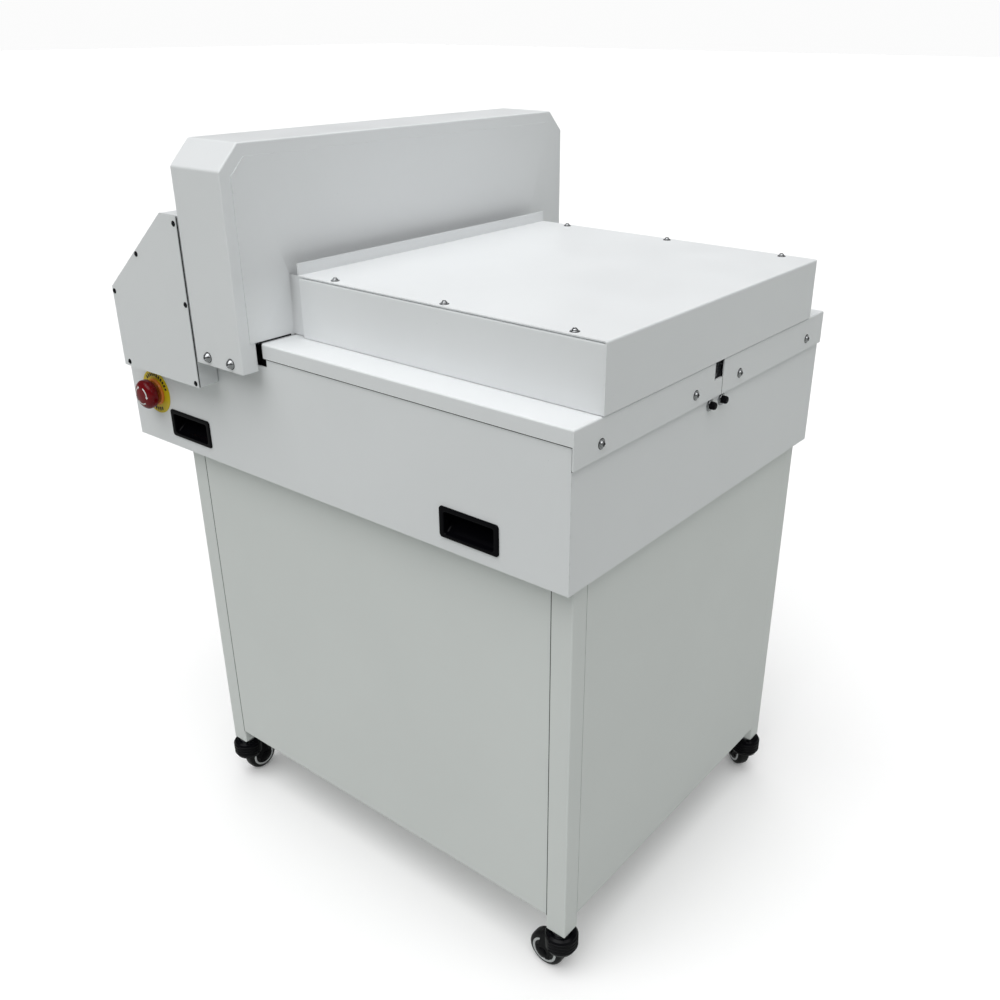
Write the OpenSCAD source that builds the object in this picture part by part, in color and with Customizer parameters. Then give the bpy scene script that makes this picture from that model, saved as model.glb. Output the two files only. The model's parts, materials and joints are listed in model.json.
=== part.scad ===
// Electric paper cutter on a cabinet stand with four swivel casters.
// Frame: +X is the operator's right, -Y is the operator's side, +Z is up.
// The origin is on the floor, under the middle of the machine.

/* [Machine] */
// Longest cut that the knife makes
cut_w = 460; // [440:5:470]
// Height of the table top above the floor
table_z = 764; // [740:1:790]
// Height of the leg bottoms above the floor, which is the caster height
leg_z = 70; // [68:1:80]
// Height of the joint between the cabinet and the base box
deck_z = 579.5; // [560:0.5:600]
// Thickness of the folded steel sheet
sheet = 1.5; // [1.2:0.1:2]

/* [Base box] */
// Width over the base side panels
base_w = 570; // [560:1:580]
// Front face of the base box
base_front = -381; // [-390:1:-370]
// Rear face of the base box
base_rear_y = 375; // [370:1:378]
// Width of a recessed handle
handle_w = 85; // [70:1:90]
// Height of a recessed handle
handle_h = 38; // [34:1:44]

/* [Head] */
// Width of the head
head_w = 630; // [620:1:640]
// Front face of the head shell
head_front = -176; // [-180:1:-174]
// Rear face of the head shell
head_rear = -86; // [-88:1:-84]
// Underside of the head shell
head_bottom = 731; // [725:1:735]
// Top of the head shell
head_top = 991; // [985:1:1000]
// Size of the chamfer on the top corners of the head
head_chamfer = 28.6; // [20:0.1:32]
// Width of the flange that the head shell folds inwards
head_flange = 22.8; // [20:0.1:26]

/* [Consoles] */
// Outer face of a console, from the middle of the machine
console_x = 316; // [312:1:318]
// Front face of a console
console_front = -340; // [-345:1:-330]
// Underside of a console
console_bottom = 696; // [690:1:700]
// Height where a console's front starts to slope
console_mid = 801; // [795:1:810]
// Top of a console
console_top = 907; // [900:1:915]
// Front edge of a console's flat top
console_crest = -209; // [-215:1:-205]

/* [Rear table and cover] */
// Width of the rear table over its side flanges
table_w = 573; // [573:1:576]
// Rear face of the rear table's flange
table_rear = 378.2; // [377:0.1:380]
// Width of the rear cover
cover_w = 477; // [470:1:480]
// Front face of the rear cover
cover_front = -62; // [-64:1:-56]
// Height of the rear cover above the table
cover_h = 76; // [70:1:80]
// Height of the cover's front upstand above its top
upstand_h = 14; // [10:1:20]

/* [Cabinet] */
// Width over the cabinet legs
cabinet_w = 532; // [520:1:540]
// Front face of the cabinet
cabinet_front = -292; // [-296:1:-288]
// Rear face of the cabinet
cabinet_rear_y = 367.5; // [366:0.5:370]
// Bottom edge of the cabinet panels
panel_z = 94; // [90:1:100]

/* [Casters] */
// Diameter of a caster wheel
wheel_d = 50; // [48:1:52]
// Distance from a caster's swivel axis to its wheel axle
trail = 20; // [18:1:22]

/* [Cutting] */
// Rise of the knife edge above the table at rest
knife_rise = 62; // [60:1:64]
// Rise of the clamp's face above the table at rest
clamp_rise = 58; // [56:1:60]

/* [Hidden] */
$fn = 64;

// Gap between two parts that move past each other
gap = 0.3;
// Radial clearance of a shaft that turns or slides in a bore
run = 0.06;
// Overlap that makes a cutting tool pass right through
eps = 1;

// Colours
white_paint = [0.87, 0.88, 0.88];
black_plastic = [0.04, 0.04, 0.045];
steel_grey = [0.62, 0.63, 0.65];
dark_steel = [0.25, 0.26, 0.28];

// Cabinet
leg_x = 26;
leg_y = 28;
leg_wall = 1.5;
rail = 20;
panel_back = 1.7;
panel_lip = 14;
seam = 0.8;
door_d = 18;
lug_t = 3;
door_pin_d = 5;
door_gap = 3;
door_hinge = [-cabinet_w / 2 + leg_x + 6, cabinet_front + 3.5];
door_z0 = panel_z + 0.5;
door_z1 = deck_z - 8;
door_pull = [205, 430];
floor_z = panel_z + rail;
leg_centres = [
    [cabinet_w / 2 - leg_x / 2, cabinet_front + leg_y / 2, 180],
    [-cabinet_w / 2 + leg_x / 2, cabinet_front + leg_y / 2, 20],
    [cabinet_w / 2 - leg_x / 2, cabinet_rear_y - leg_y / 2, 270],
    [-cabinet_w / 2 + leg_x / 2, cabinet_rear_y - leg_y / 2, 235]
];

// Casters, drawn about the swivel axis with the wheel trailing along +X
axle_z = wheel_d / 2;
wheel_w = 20;
axle_d = 8;
cheek_t = 3.6;
cheek_in = wheel_w / 2 + 0.6;
housing_r = 21.5;
housing_z0 = 36;
housing_z1 = leg_z - 4.5;
stem_d = 10;
stem_z0 = 49;
pedal_u = 30;
pedal_z = housing_z1 - 6;

// Base box
side_x = base_w / 2;
side_low = 735;
handle_z = 614.7;
handle_ys = [-256, 240.6];
handle_depth = 24;
stop_y = -326;
stop_z = 652.3;
stop_hole_d = 22.4;
stop_ring_d = 60;
stop_collar_d = 30;
stop_stem_d = 10;
fuse_xs = [12.5, -14.8];
fuse_z = 713;
fuse_hole_d = 12.4;
fuse_body_d = 13.6;
fuse_body_l = 32;
fuse_plug_d = 8;
button_x = 215;
button_z = 664;
button_hole_d = 22.4;
inlet_y = 325;
inlet_z = 640;
inlet_size = [58, 62];
rocker_x = -side_x + 4;
rocker_z = inlet_z + 13.5;
rocker_tilt = 8;
rocker_pin_d = 3;
base_rear_top = 741;

// Rear table
table_t = 2;
side_flange_z = 746;
rear_flange_z = 721;
rear_table_front = -78;
slot_half = 10.5;
flange_seam = -9;
notch_z = 742;
flange_screw_xs = [52, 239];
flange_screw_z = 736;
cover_screw_x = 228.5;
cover_screw_ys = [-8, 163, 335];

// Panels on the head
panel_inset = 15;
panel_t = 1.2;

// Press
frame_x0 = cut_w / 2 + 2;
frame_x1 = frame_x0 + 14;
press_y0 = -139.5;
press_y1 = -92;
beam_z0 = 935;
beam_z1 = 955;
bed_t = 16;
knife_line = -140;
knife_t = 10;
knife_z = table_z + knife_rise;
knife_h = 70;
bar_z0 = knife_z + 24;
bar_z1 = bar_z0 + 70;
knife_bolt_xs = [-200:100:200];
knife_bolt_z = bar_z0 + 22;
knife_bolt_d = 10;
bar_y0 = -168;
bar_y1 = knife_line - knife_t;
rod_x0 = 271;
rod_x1 = 281;
stick_w = 12;
stick_h = 10;

// Crank and yoke
crank_swing = 50;
crank_r = (knife_rise + 0.5) / (2 * sin(crank_swing));
yoke_z = 680;
crank_z = yoke_z - (knife_rise + 0.5) / 2;
crank_x = 204.5;
crank_pin_d = 12;
crank_hub_d = 36;
crank_boss_d = 24;
crank_arm_w = 18;
crank_shaft_d = 20;
crank_shaft_l = 40;
yoke_slot_h = crank_pin_d + 4.4;

// Clamp
clamp_z = table_z + clamp_rise;
clamp_y0 = -137;
clamp_y1 = -107;
clamp_y = (clamp_y0 + clamp_y1) / 2;
clamp_screw_d = 16;
clamp_motor_x = 100;
clamp_pulley_d = 44;
clamp_pulley_w = 14;
clamp_collar_h = 4;
clamp_pulley_z = beam_z1 + gap + clamp_collar_h;

// Back gauge
gauge_y = 322;
gauge_t = 14;
gauge_screw_z = 733;
gauge_screw_d = 12;
gauge_plate_h = 12;
gauge_pulley_d = 22;
gauge_motor_z = 650;
motor_pulley_d = 24;
motor_shaft_d = 8;
belt_t = 1.5;
belt_w = 10;
pulley_w = 12;
pulley_y = -87;
bracket_y0 = 340;
bracket_y1 = 362;
rod_x = 60;
rail_plate_ys = [-77, 365];
rail_plate_t = 6;

// Guard
guard_y = -203;
guard_z = 897;
guard_len = 164;
guard_pin_d = 8;
guard_rod_d = 14;
guard_t = 4;
guard_angle = 217.5;
guard_x = 247;
console_in = 250;

// Head outline seen along Y, moved inwards by t, with its bottom at height z0
function head_outline(t, z0) =
    let (x = head_w / 2 - t, z = head_top - t, c = head_chamfer - t * (2 - sqrt(2)))
    [[-x, z0], [x, z0], [x, z - c], [x - c, z], [-x + c, z], [-x, z - c]];

// Console outline seen along X, moved inwards by t
function console_outline(t) =
    let (a = atan2(console_top - console_mid, console_crest - console_front))
    [
        [head_front - 2 - t, console_bottom + t],
        [console_front + t, console_bottom + t],
        [console_front + t, console_mid - t * (1 - sin(a)) / cos(a)],
        [console_crest + t * (1 - cos(a)) / sin(a), console_top - t],
        [head_front - 2 - t, console_top - t]
    ];

// A box from its lowest to its highest corner
module block(lo, hi) {
    translate(lo) cube(hi - lo);
}

// A shape and its mirror image on the other side of the machine
module both_sides() {
    children();
    mirror([1, 0, 0]) children();
}

// A cylinder along X
module rod_along_x(x0, x1, y, z, d) {
    translate([x0, y, z]) rotate([0, 90, 0]) cylinder(h = x1 - x0, d = d);
}

// A cylinder along Y
module rod_along_y(y0, y1, x, z, d) {
    translate([x, y0, z]) rotate([-90, 0, 0]) cylinder(h = y1 - y0, d = d);
}

// A plate in the XZ plane from y0 to y1
module plate_xz(points, y0, y1) {
    translate([0, y1, 0]) rotate([90, 0, 0]) linear_extrude(y1 - y0) polygon(points);
}

// A plate in the YZ plane from x0 to x1
module plate_yz(points, x0, x1) {
    translate([x0, 0, 0]) rotate([90, 0, 90]) linear_extrude(x1 - x0) polygon(points);
}

// A domed screw head with a cross recess, standing along +Z
module pan_head(d, h) {
    difference() {
        rotate_extrude() polygon([
            [0, 0], [d / 2, 0], [d / 2, h * 0.35], [d * 0.42, h * 0.75], [d * 0.25, h], [0, h]
        ]);
        for (a = [0, 90])
            rotate([0, 0, a]) translate([-d * 0.25, -0.5, h - 1]) cube([d * 0.5, 1, 1 + eps]);
    }
}

// ---- cabinet ----

module cabinet_leg(x, y) {
    difference() {
        translate([x - leg_x / 2, y - leg_y / 2, leg_z]) cube([leg_x, leg_y, deck_z - leg_z]);
        translate([x - leg_x / 2 + leg_wall, y - leg_y / 2 + leg_wall, leg_z + 4])
            cube([leg_x - 2 * leg_wall, leg_y - 2 * leg_wall, deck_z]);
        translate([x, y, leg_z - eps]) cylinder(h = 10, d = stem_d + 0.4);
    }
}

module cabinet_frame() {
    x0 = cabinet_w / 2 - leg_x;
    y0 = cabinet_front + leg_y;
    y1 = cabinet_rear_y - leg_y;
    color(white_paint) difference() {
        union() {
            for (c = leg_centres) cabinet_leg(c[0], c[1]);
            for (z = [panel_z, deck_z - rail]) {
                both_sides()
                    block([cabinet_w / 2 - panel_back - rail, y0, z],
                        [cabinet_w / 2 - panel_back, y1, z + rail]);
                block([-x0, cabinet_rear_y - panel_back - rail, z],
                    [x0, cabinet_rear_y - panel_back, z + rail]);
            }
            block([-x0, cabinet_front + door_d + 1, deck_z - rail], [x0, y0 + 12, deck_z]);
            block([-x0, cabinet_front + door_d + 1, panel_z], [x0, y0 + 12, floor_z]);
            for (z = [door_z0 - lug_t - 0.5, door_z1 + 0.5])
                block([-x0 - 0.2, cabinet_front, z], [-x0 + 11, cabinet_front + 8, z + lug_t]);
        }
        for (z = [door_z0 - lug_t - 0.5, door_z1 + 0.5])
            translate([door_hinge[0], door_hinge[1], z - eps])
                cylinder(h = lug_t + 2 * eps, d = door_pin_d + 2 * run);
    }
}

module cabinet_sides() {
    y0 = cabinet_front + leg_y + seam;
    y1 = cabinet_rear_y - leg_y - seam;
    color(white_paint) both_sides() {
        block([cabinet_w / 2 - sheet, y0, panel_z], [cabinet_w / 2, y1, deck_z]);
        block([cabinet_w / 2 - panel_lip, y0, panel_z - sheet], [cabinet_w / 2, y1, panel_z]);
    }
}

module cabinet_rear() {
    x0 = cabinet_w / 2 - leg_x - seam;
    color(white_paint) {
        block([-x0, cabinet_rear_y - sheet, panel_z], [x0, cabinet_rear_y, deck_z]);
        block([-x0, cabinet_rear_y - panel_lip, panel_z - sheet], [x0, cabinet_rear_y, panel_z]);
    }
}

module cabinet_floor() {
    x0 = cabinet_w / 2 - leg_x - 0.5;
    color(white_paint)
        block([-x0, cabinet_front + leg_y, floor_z],
            [x0, cabinet_rear_y - leg_y - 0.5, floor_z + sheet]);
}

module cabinet_door() {
    x0 = cabinet_w / 2 - leg_x - door_gap;
    y0 = cabinet_front;
    color(white_paint) {
        difference() {
            block([-x0, y0, door_z0], [x0, y0 + door_d, door_z1]);
            block([-x0 + 8, y0 + sheet, door_z0 + sheet],
                [x0 - sheet, y0 + door_d + eps, door_z1 - sheet]);
        }
        rod_along_y(y0 - 10, y0, door_pull[0], door_pull[1], 12);
        rod_along_y(y0 - 16, y0 - 10, door_pull[0], door_pull[1], 24);
        for (z = [door_z0 - lug_t - 0.5, door_z1 - 4])
            translate([door_hinge[0], door_hinge[1], z]) cylinder(h = lug_t + 4.5, d = door_pin_d);
    }
}

// ---- casters ----

module caster_stems() {
    color(steel_grey) for (c = leg_centres) translate([c[0], c[1], 0]) {
        translate([0, 0, housing_z1 + 0.5]) cylinder(h = leg_z - housing_z1 - 0.5, d = 24);
        translate([0, 0, stem_z0]) cylinder(h = leg_z + 20 - stem_z0, d = stem_d);
        translate([0, 0, leg_z + 4]) cylinder(h = 8, d = 17 / cos(30), $fn = 6);
    }
}

// Cheek plate of a fork from the housing to the axle, between v0 and v1
module caster_cheek(v0, v1) {
    translate([0, v1, 0]) rotate([90, 0, 0]) linear_extrude(v1 - v0) {
        polygon([
            [-4, housing_z1 - 4], [-4, housing_z0 + 4], [trail - 8, axle_z - 4],
            [trail + 8, axle_z], [trail + 2, housing_z1 - 8], [14, housing_z1 - 4]
        ]);
        translate([trail, axle_z]) circle(d = 18);
    }
}

module caster_fork() {
    color(black_plastic) difference() {
        union() {
            rotate_extrude() polygon([
                [0, housing_z0], [housing_r - 8, housing_z0],
                [housing_r - 2.5, housing_z0 + 2.5], [housing_r, housing_z0 + 8],
                [housing_r, housing_z1 - 5], [housing_r - 1.5, housing_z1 - 1.5],
                [housing_r - 5, housing_z1], [0, housing_z1]
            ]);
            caster_cheek(cheek_in, cheek_in + cheek_t);
            caster_cheek(-cheek_in - cheek_t, -cheek_in);
            translate([trail, cheek_in + cheek_t, axle_z]) rotate([90, 0, 0])
                cylinder(h = 2 * (cheek_in + cheek_t), d = axle_d);
        }
        difference() {
            translate([trail, cheek_in, axle_z]) rotate([90, 0, 0])
                cylinder(h = 2 * cheek_in, r = axle_z + 1.5);
            translate([trail, cheek_in + eps, axle_z]) rotate([90, 0, 0])
                cylinder(h = 2 * cheek_in + 2 * eps, d = axle_d);
        }
        translate([0, 0, housing_z0 - eps]) cylinder(h = 40, d = stem_d + 2 * run);
    }
}

module caster_wheel() {
    r = wheel_d / 2;
    w = wheel_w / 2;
    bore = axle_d / 2 + run;
    color(black_plastic) translate([trail, 0, axle_z]) rotate([90, 0, 0]) rotate_extrude()
        polygon([
            [bore, -w], [7.5, -w], [7.5, -w + 1.5], [13, -w + 1.5], [15, -w], [18, -w], [19, -w + 0.8],
            [r - 3.5, -w + 0.8], [r - 1, -w + 2.5], [r, -w + 5],
            [r, w - 5], [r - 1, w - 2.5], [r - 3.5, w - 0.8],
            [19, w - 0.8], [18, w], [15, w], [13, w - 1.5], [7.5, w - 1.5], [7.5, w], [bore, w]
        ]);
}

// Brake pedal over the wheel, hinged on the front of the housing
module caster_pedal() {
    color(black_plastic) difference() {
        union() {
            translate([pedal_u, 12, pedal_z]) rotate([90, 0, 0]) cylinder(h = 24, d = 8);
            block([pedal_u, -11, pedal_z - 2], [pedal_u + 20, 11, pedal_z + 2]);
            translate([pedal_u + 20, 11, pedal_z]) rotate([90, 0, 0]) cylinder(h = 22, d = 4);
        }
        translate([pedal_u, 13, pedal_z]) rotate([90, 0, 0]) cylinder(h = 26, d = 3 + 2 * run);
    }
}

// Ears and pin that carry the brake pedal, part of a braked fork
module pedal_ears() {
    color(black_plastic) {
        for (v = [-16, 12.3])
            block([housing_r - 8, v, pedal_z - 5], [pedal_u + 3.5, v + 3.7, pedal_z + 4]);
        translate([pedal_u, 16, pedal_z]) rotate([90, 0, 0]) cylinder(h = 32, d = 3);
    }
}

module place_caster(i) {
    c = leg_centres[i];
    translate([c[0], c[1], 0]) rotate([0, 0, c[2]]) children();
}

module caster_fork_front_right() { place_caster(0) { caster_fork(); pedal_ears(); } }
module caster_fork_front_left() { place_caster(1) { caster_fork(); pedal_ears(); } }
module caster_fork_rear_right() { place_caster(2) caster_fork(); }
module caster_fork_rear_left() { place_caster(3) caster_fork(); }
module caster_wheel_front_right() { place_caster(0) caster_wheel(); }
module caster_wheel_front_left() { place_caster(1) caster_wheel(); }
module caster_wheel_rear_right() { place_caster(2) caster_wheel(); }
module caster_wheel_rear_left() { place_caster(3) caster_wheel(); }
module caster_pedal_front_right() { place_caster(0) caster_pedal(); }
module caster_pedal_front_left() { place_caster(1) caster_pedal(); }

// ---- base box ----

module base_sides() {
    y0 = base_front;
    y1 = base_rear_y;
    step = rear_table_front + 4;
    outline = [
        [y0, deck_z], [y1, deck_z], [y1, table_z - table_t], [step, table_z - table_t],
        [step, side_low], [head_front, side_low], [head_front, table_z - bed_t], [y0, table_z - bed_t]
    ];
    color(white_paint) difference() {
        both_sides() plate_yz(outline, side_x - sheet, side_x);
        for (y = handle_ys)
            block([-side_x - eps, y - handle_w / 2 + 4, handle_z - handle_h / 2 + 4],
                [side_x + eps, y + handle_w / 2 - 4, handle_z + handle_h / 2 - 4]);
        rod_along_x(side_x - 5, side_x + 5, stop_y, stop_z, stop_hole_d);
        block([-side_x - eps, inlet_y - inlet_size[0] / 2 + 3, inlet_z - inlet_size[1] / 2 + 3],
            [-side_x + 5, inlet_y + inlet_size[0] / 2 - 3, inlet_z + inlet_size[1] / 2 - 3]);
    }
}

module base_rear() {
    color(white_paint) difference() {
        block([-side_x + sheet + 0.1, base_rear_y - sheet, deck_z],
            [side_x - sheet - 0.1, base_rear_y, base_rear_top]);
        for (x = fuse_xs) rod_along_y(base_rear_y - 5, base_rear_y + 5, x, fuse_z, fuse_hole_d);
    }
}

module base_tray() {
    x0 = side_x - sheet - 0.1;
    color(white_paint) difference() {
        union() {
            block([-x0, base_front, deck_z], [x0, base_rear_y - sheet - 0.1, deck_z + sheet]);
            block([-x0, base_front, deck_z], [x0, base_front + sheet, table_z - bed_t]);
        }
        for (x = [-button_x, button_x])
            rod_along_y(base_front - 5, base_front + 5, x, button_z, button_hole_d);
    }
}

// Finger recess that snaps into the base side panel, drawn for the +X side
module recess_handle(y) {
    w = handle_w / 2;
    h = handle_h / 2;
    difference() {
        union() {
            block([side_x, y - w, handle_z - h], [side_x + 2, y + w, handle_z + h]);
            block([side_x - handle_depth, y - w + 4.3, handle_z - h + 4.3],
                [side_x, y + w - 4.3, handle_z + h - 4.3]);
        }
        plate_xz([
            [side_x + 3, handle_z - h + 5], [side_x + 3, handle_z + h - 6],
            [side_x - handle_depth + 2, handle_z + h - 6], [side_x - handle_depth + 2, handle_z + 2],
            [side_x - 4, handle_z - h + 6.5], [side_x - 1, handle_z - h + 5]
        ], y - w + 7, y + w - 7);
    }
}

module recess_handles() {
    color(black_plastic) both_sides() for (y = handle_ys) recess_handle(y);
}

module stop_switch() {
    color([0.95, 0.78, 0.05]) difference() {
        union() {
            rod_along_x(side_x, side_x + 1, stop_y, stop_z, stop_ring_d);
            rod_along_x(side_x + 1, side_x + 3, stop_y, stop_z, stop_collar_d);
            rod_along_x(side_x - 4, side_x, stop_y, stop_z, stop_hole_d - 0.4);
            block([side_x - 46, stop_y - 15, stop_z - 15], [side_x - 4, stop_y + 15, stop_z + 15]);
        }
        rod_along_x(side_x - 34, side_x + 4, stop_y, stop_z, stop_stem_d + 2 * run);
    }
}

module stop_stem() {
    color(steel_grey) union() {
        rod_along_x(side_x - 28, side_x + 18, stop_y, stop_z, stop_stem_d);
        rod_along_x(side_x + 7.5, side_x + 9, stop_y, stop_z, 16);
    }
}

module stop_cap() {
    x0 = side_x + 9.3;
    color([0.6, 0.03, 0.05]) difference() {
        translate([x0, stop_y, stop_z]) rotate([0, 90, 0]) rotate_extrude() polygon([
            [0, 0], [17, 0], [19.4, 1.2], [20, 3], [20, 8], [18.6, 11.4], [15, 14], [9, 15.6], [0, 16.2]
        ]);
        rod_along_x(x0 - eps, side_x + 18.4, stop_y, stop_z, stop_stem_d + 2 * run);
    }
}

module fuse_holders() {
    color(black_plastic) for (x = fuse_xs) difference() {
        union() {
            rod_along_y(base_rear_y, base_rear_y + 2.5, x, fuse_z, 14);
            rod_along_y(base_rear_y - 4, base_rear_y, x, fuse_z, fuse_hole_d - 0.4);
            rod_along_y(base_rear_y - fuse_body_l, base_rear_y - 4, x, fuse_z, fuse_body_d);
        }
        rod_along_y(base_rear_y - 26, base_rear_y + 3.5, x, fuse_z, fuse_plug_d + 2 * run);
    }
}

module fuse_cap(x) {
    color(black_plastic) {
        rod_along_y(base_rear_y - 24, base_rear_y + 3.5, x, fuse_z, fuse_plug_d);
        translate([x, base_rear_y + 2.9, fuse_z]) rotate([-90, 0, 0]) rotate_extrude() polygon([
            [0, 0], [5.2, 0], [5.2, 4.4], [4.7, 5.6], [3.6, 6.1], [0, 6.1]
        ]);
    }
}

module fuse_cap_right() { fuse_cap(fuse_xs[0]); }
module fuse_cap_left() { fuse_cap(fuse_xs[1]); }

// Spring-loaded push button on the front panel
module cut_button(x) {
    color([0.1, 0.5, 0.2]) {
        rod_along_y(base_front - 3, base_front + 2, x, button_z, 20);
        rod_along_y(base_front + 2, base_front + 24, x, button_z, button_hole_d - 2 * gap);
    }
}

module cut_button_right() { cut_button(button_x); }
module cut_button_left() { cut_button(-button_x); }

module power_inlet() {
    w = inlet_size[0] / 2;
    h = inlet_size[1] / 2;
    color(black_plastic) difference() {
        union() {
            block([-side_x - 2, inlet_y - w, inlet_z - h], [-side_x, inlet_y + w, inlet_z + h]);
            block([-side_x, inlet_y - w + 3.3, inlet_z - h + 3.3],
                [-side_x + 30, inlet_y + w - 3.3, inlet_z + h - 3.3]);
        }
        block([-side_x - 3, inlet_y - 12.5, inlet_z - 24], [-side_x + 16, inlet_y + 12.5, inlet_z - 8]);
        block([-side_x - 3, inlet_y - 13, inlet_z + 3], [-side_x + 12, inlet_y + 13, inlet_z + 24]);
        rod_along_y(inlet_y - 15, inlet_y + 15, rocker_x, rocker_z, rocker_pin_d + 2 * run);
    }
}

// Rocker switch on two stub pins, tilted to its off side
module main_switch() {
    color([0.55, 0.04, 0.04]) {
        translate([rocker_x, 0, rocker_z]) rotate([0, -rocker_tilt, 0])
            plate_xz([[-5.5, -9.3], [3, -8.6], [3, 8.6], [-5.5, 9.3], [-3.8, 0]],
                inlet_y - 12.5, inlet_y + 12.5);
        rod_along_y(inlet_y - 14.6, inlet_y + 14.6, rocker_x, rocker_z, rocker_pin_d);
    }
}

// ---- tables ----

// Half of the rear table, drawn for the +X side
module rear_table_half(side) {
    x1 = table_w / 2;
    seam_x = side * flange_seam + (side > 0 ? 0 : 0.3);
    z0 = table_z - table_t;
    block([slot_half, rear_table_front, z0], [x1, table_rear, table_z]);
    block([side_x, rear_table_front, side_flange_z], [x1, table_rear, z0]);
    difference() {
        block([seam_x, table_rear - sheet, rear_flange_z], [x1, table_rear, z0]);
        block([-slot_half - 5, table_rear - 5, notch_z], [slot_half, table_rear + eps, table_z]);
    }
}

module rear_table_right() { color(white_paint) rear_table_half(1); }
module rear_table_left() { color(white_paint) mirror([1, 0, 0]) rear_table_half(-1); }

module bed() {
    y0 = base_front;
    color(steel_grey) difference() {
        union() {
            block([-side_x + 2, y0, table_z - bed_t], [side_x - 2, head_front - 2, table_z]);
            block([-frame_x0, head_front - 2, table_z - bed_t],
                [frame_x0, rear_table_front - 1, table_z]);
        }
        block([-frame_x0 - eps, knife_line - stick_w / 2, table_z - stick_h],
            [frame_x0 + eps, knife_line + stick_w / 2, table_z + eps]);
    }
}

module cutting_stick() {
    color([0.85, 0.1, 0.1])
        block([-cut_w / 2, knife_line - stick_w / 2 + 0.1, table_z - stick_h],
            [cut_w / 2, knife_line + stick_w / 2 - 0.1, table_z - 1]);
}

// ---- press ----

module press_frame() {
    color(dark_steel) difference() {
        union() {
            both_sides()
                block([frame_x0, press_y0, deck_z + sheet], [frame_x1, press_y1, beam_z1]);
            block([-frame_x1, press_y0, beam_z0], [frame_x1, press_y1, beam_z1]);
        }
        translate([0, clamp_y, beam_z0 - eps]) cylinder(h = 30, d = clamp_screw_d + 2 * run);
        translate([clamp_motor_x, clamp_y, beam_z0 - eps]) cylinder(h = 30, d = 10);
    }
}

module knife_bar() {
    color(dark_steel) difference() {
        block([-250, bar_y0, bar_z0], [rod_x0, bar_y1, bar_z1]);
        for (x = knife_bolt_xs)
            rod_along_y(bar_y0 - eps, bar_y1 + eps, x, knife_bolt_z, knife_bolt_d + 0.4);
    }
}

module knife() {
    z = knife_z;
    color(steel_grey) difference() {
        translate([-232, 0, 0]) rotate([90, 0, 90]) linear_extrude(487) polygon([
            [knife_line, z], [knife_line, z + knife_h], [bar_y1, z + knife_h], [bar_y1, z + 24]
        ]);
        for (x = knife_bolt_xs)
            rod_along_y(bar_y1 - eps, knife_line + eps, x, knife_bolt_z, knife_bolt_d + 0.4);
    }
}

module knife_bolts() {
    color(steel_grey) for (x = knife_bolt_xs) {
        rod_along_y(bar_y0, knife_line - 1, x, knife_bolt_z, knife_bolt_d);
        rod_along_y(bar_y0 - 3.5, bar_y0, x, knife_bolt_z, 16);
    }
}

// Rod that hangs from the end of the knife bar, with the crank's yoke at its foot
module pull_rod() {
    color(dark_steel) difference() {
        union() {
            block([rod_x0, bar_y0, yoke_z - 20], [rod_x1, bar_y1, bar_z1]);
            block([215, bar_y0, yoke_z - 20], [rod_x0, bar_y1, yoke_z + 20]);
        }
        block([222, bar_y0 - eps, yoke_z - yoke_slot_h / 2],
            [264, bar_y1 + eps, yoke_z + yoke_slot_h / 2]);
    }
}

module drive_crank() {
    y0 = bar_y1 + gap;
    y1 = press_y0 - gap;
    color(steel_grey) {
        rod_along_y(y0, y1, crank_x, crank_z, crank_hub_d);
        rod_along_y(y1 - eps, y1 + crank_shaft_l, crank_x, crank_z, crank_shaft_d);
        translate([crank_x, 0, crank_z]) rotate([0, -crank_swing, 0]) {
            block([0, y0 + eps, -crank_arm_w / 2], [crank_r, y1 - eps, crank_arm_w / 2]);
            rod_along_y(y0, y1, crank_r, 0, crank_boss_d);
            rod_along_y(bar_y0, y0 + eps, crank_r, 0, crank_pin_d);
        }
    }
}

module gearmotor() {
    y0 = press_y0 + 2;
    color([0.2, 0.24, 0.3]) difference() {
        union() {
            block([crank_x - 30, y0, crank_z - 36], [crank_x + 27, y0 + 68, crank_z + 36]);
            block([crank_x - 30, y0, deck_z + sheet], [crank_x + 27, y0 + 68, crank_z - 36]);
            rod_along_x(crank_x - 160, crank_x - 30, y0 + 34, crank_z, 64);
        }
        rod_along_y(y0 - eps, y0 + crank_shaft_l + 6, crank_x, crank_z, crank_shaft_d + 2 * run);
    }
}

module clamp_bar() {
    color(dark_steel) difference() {
        union() {
            block([-frame_x0 + 1, clamp_y0, clamp_z], [frame_x0 - 1, clamp_y1, clamp_z + 40]);
            translate([0, clamp_y, clamp_z + 40]) cylinder(h = 63, d = 28);
        }
        translate([0, clamp_y, clamp_z + 8]) cylinder(h = 100, d = clamp_screw_d + 2 * run);
    }
}

module clamp_screw() {
    color(steel_grey) translate([0, clamp_y, 0]) {
        translate([0, 0, clamp_z + 12]) cylinder(h = beam_z1 + 20 - clamp_z - 12, d = clamp_screw_d);
        translate([0, 0, beam_z1 + gap]) cylinder(h = clamp_collar_h, d = 26);
        translate([0, 0, clamp_pulley_z]) cylinder(h = clamp_pulley_w, d = clamp_pulley_d);
    }
}

module clamp_motor() {
    x = clamp_motor_x;
    color([0.15, 0.15, 0.16]) {
        block([x - 21, clamp_y - 14.5, beam_z0 - 62], [x + 21, clamp_y + 27, beam_z0]);
        translate([x, clamp_y, beam_z0]) cylinder(h = 38, d = motor_shaft_d);
        translate([x, clamp_y, clamp_pulley_z]) cylinder(h = clamp_pulley_w, d = motor_pulley_d);
    }
}

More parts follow.
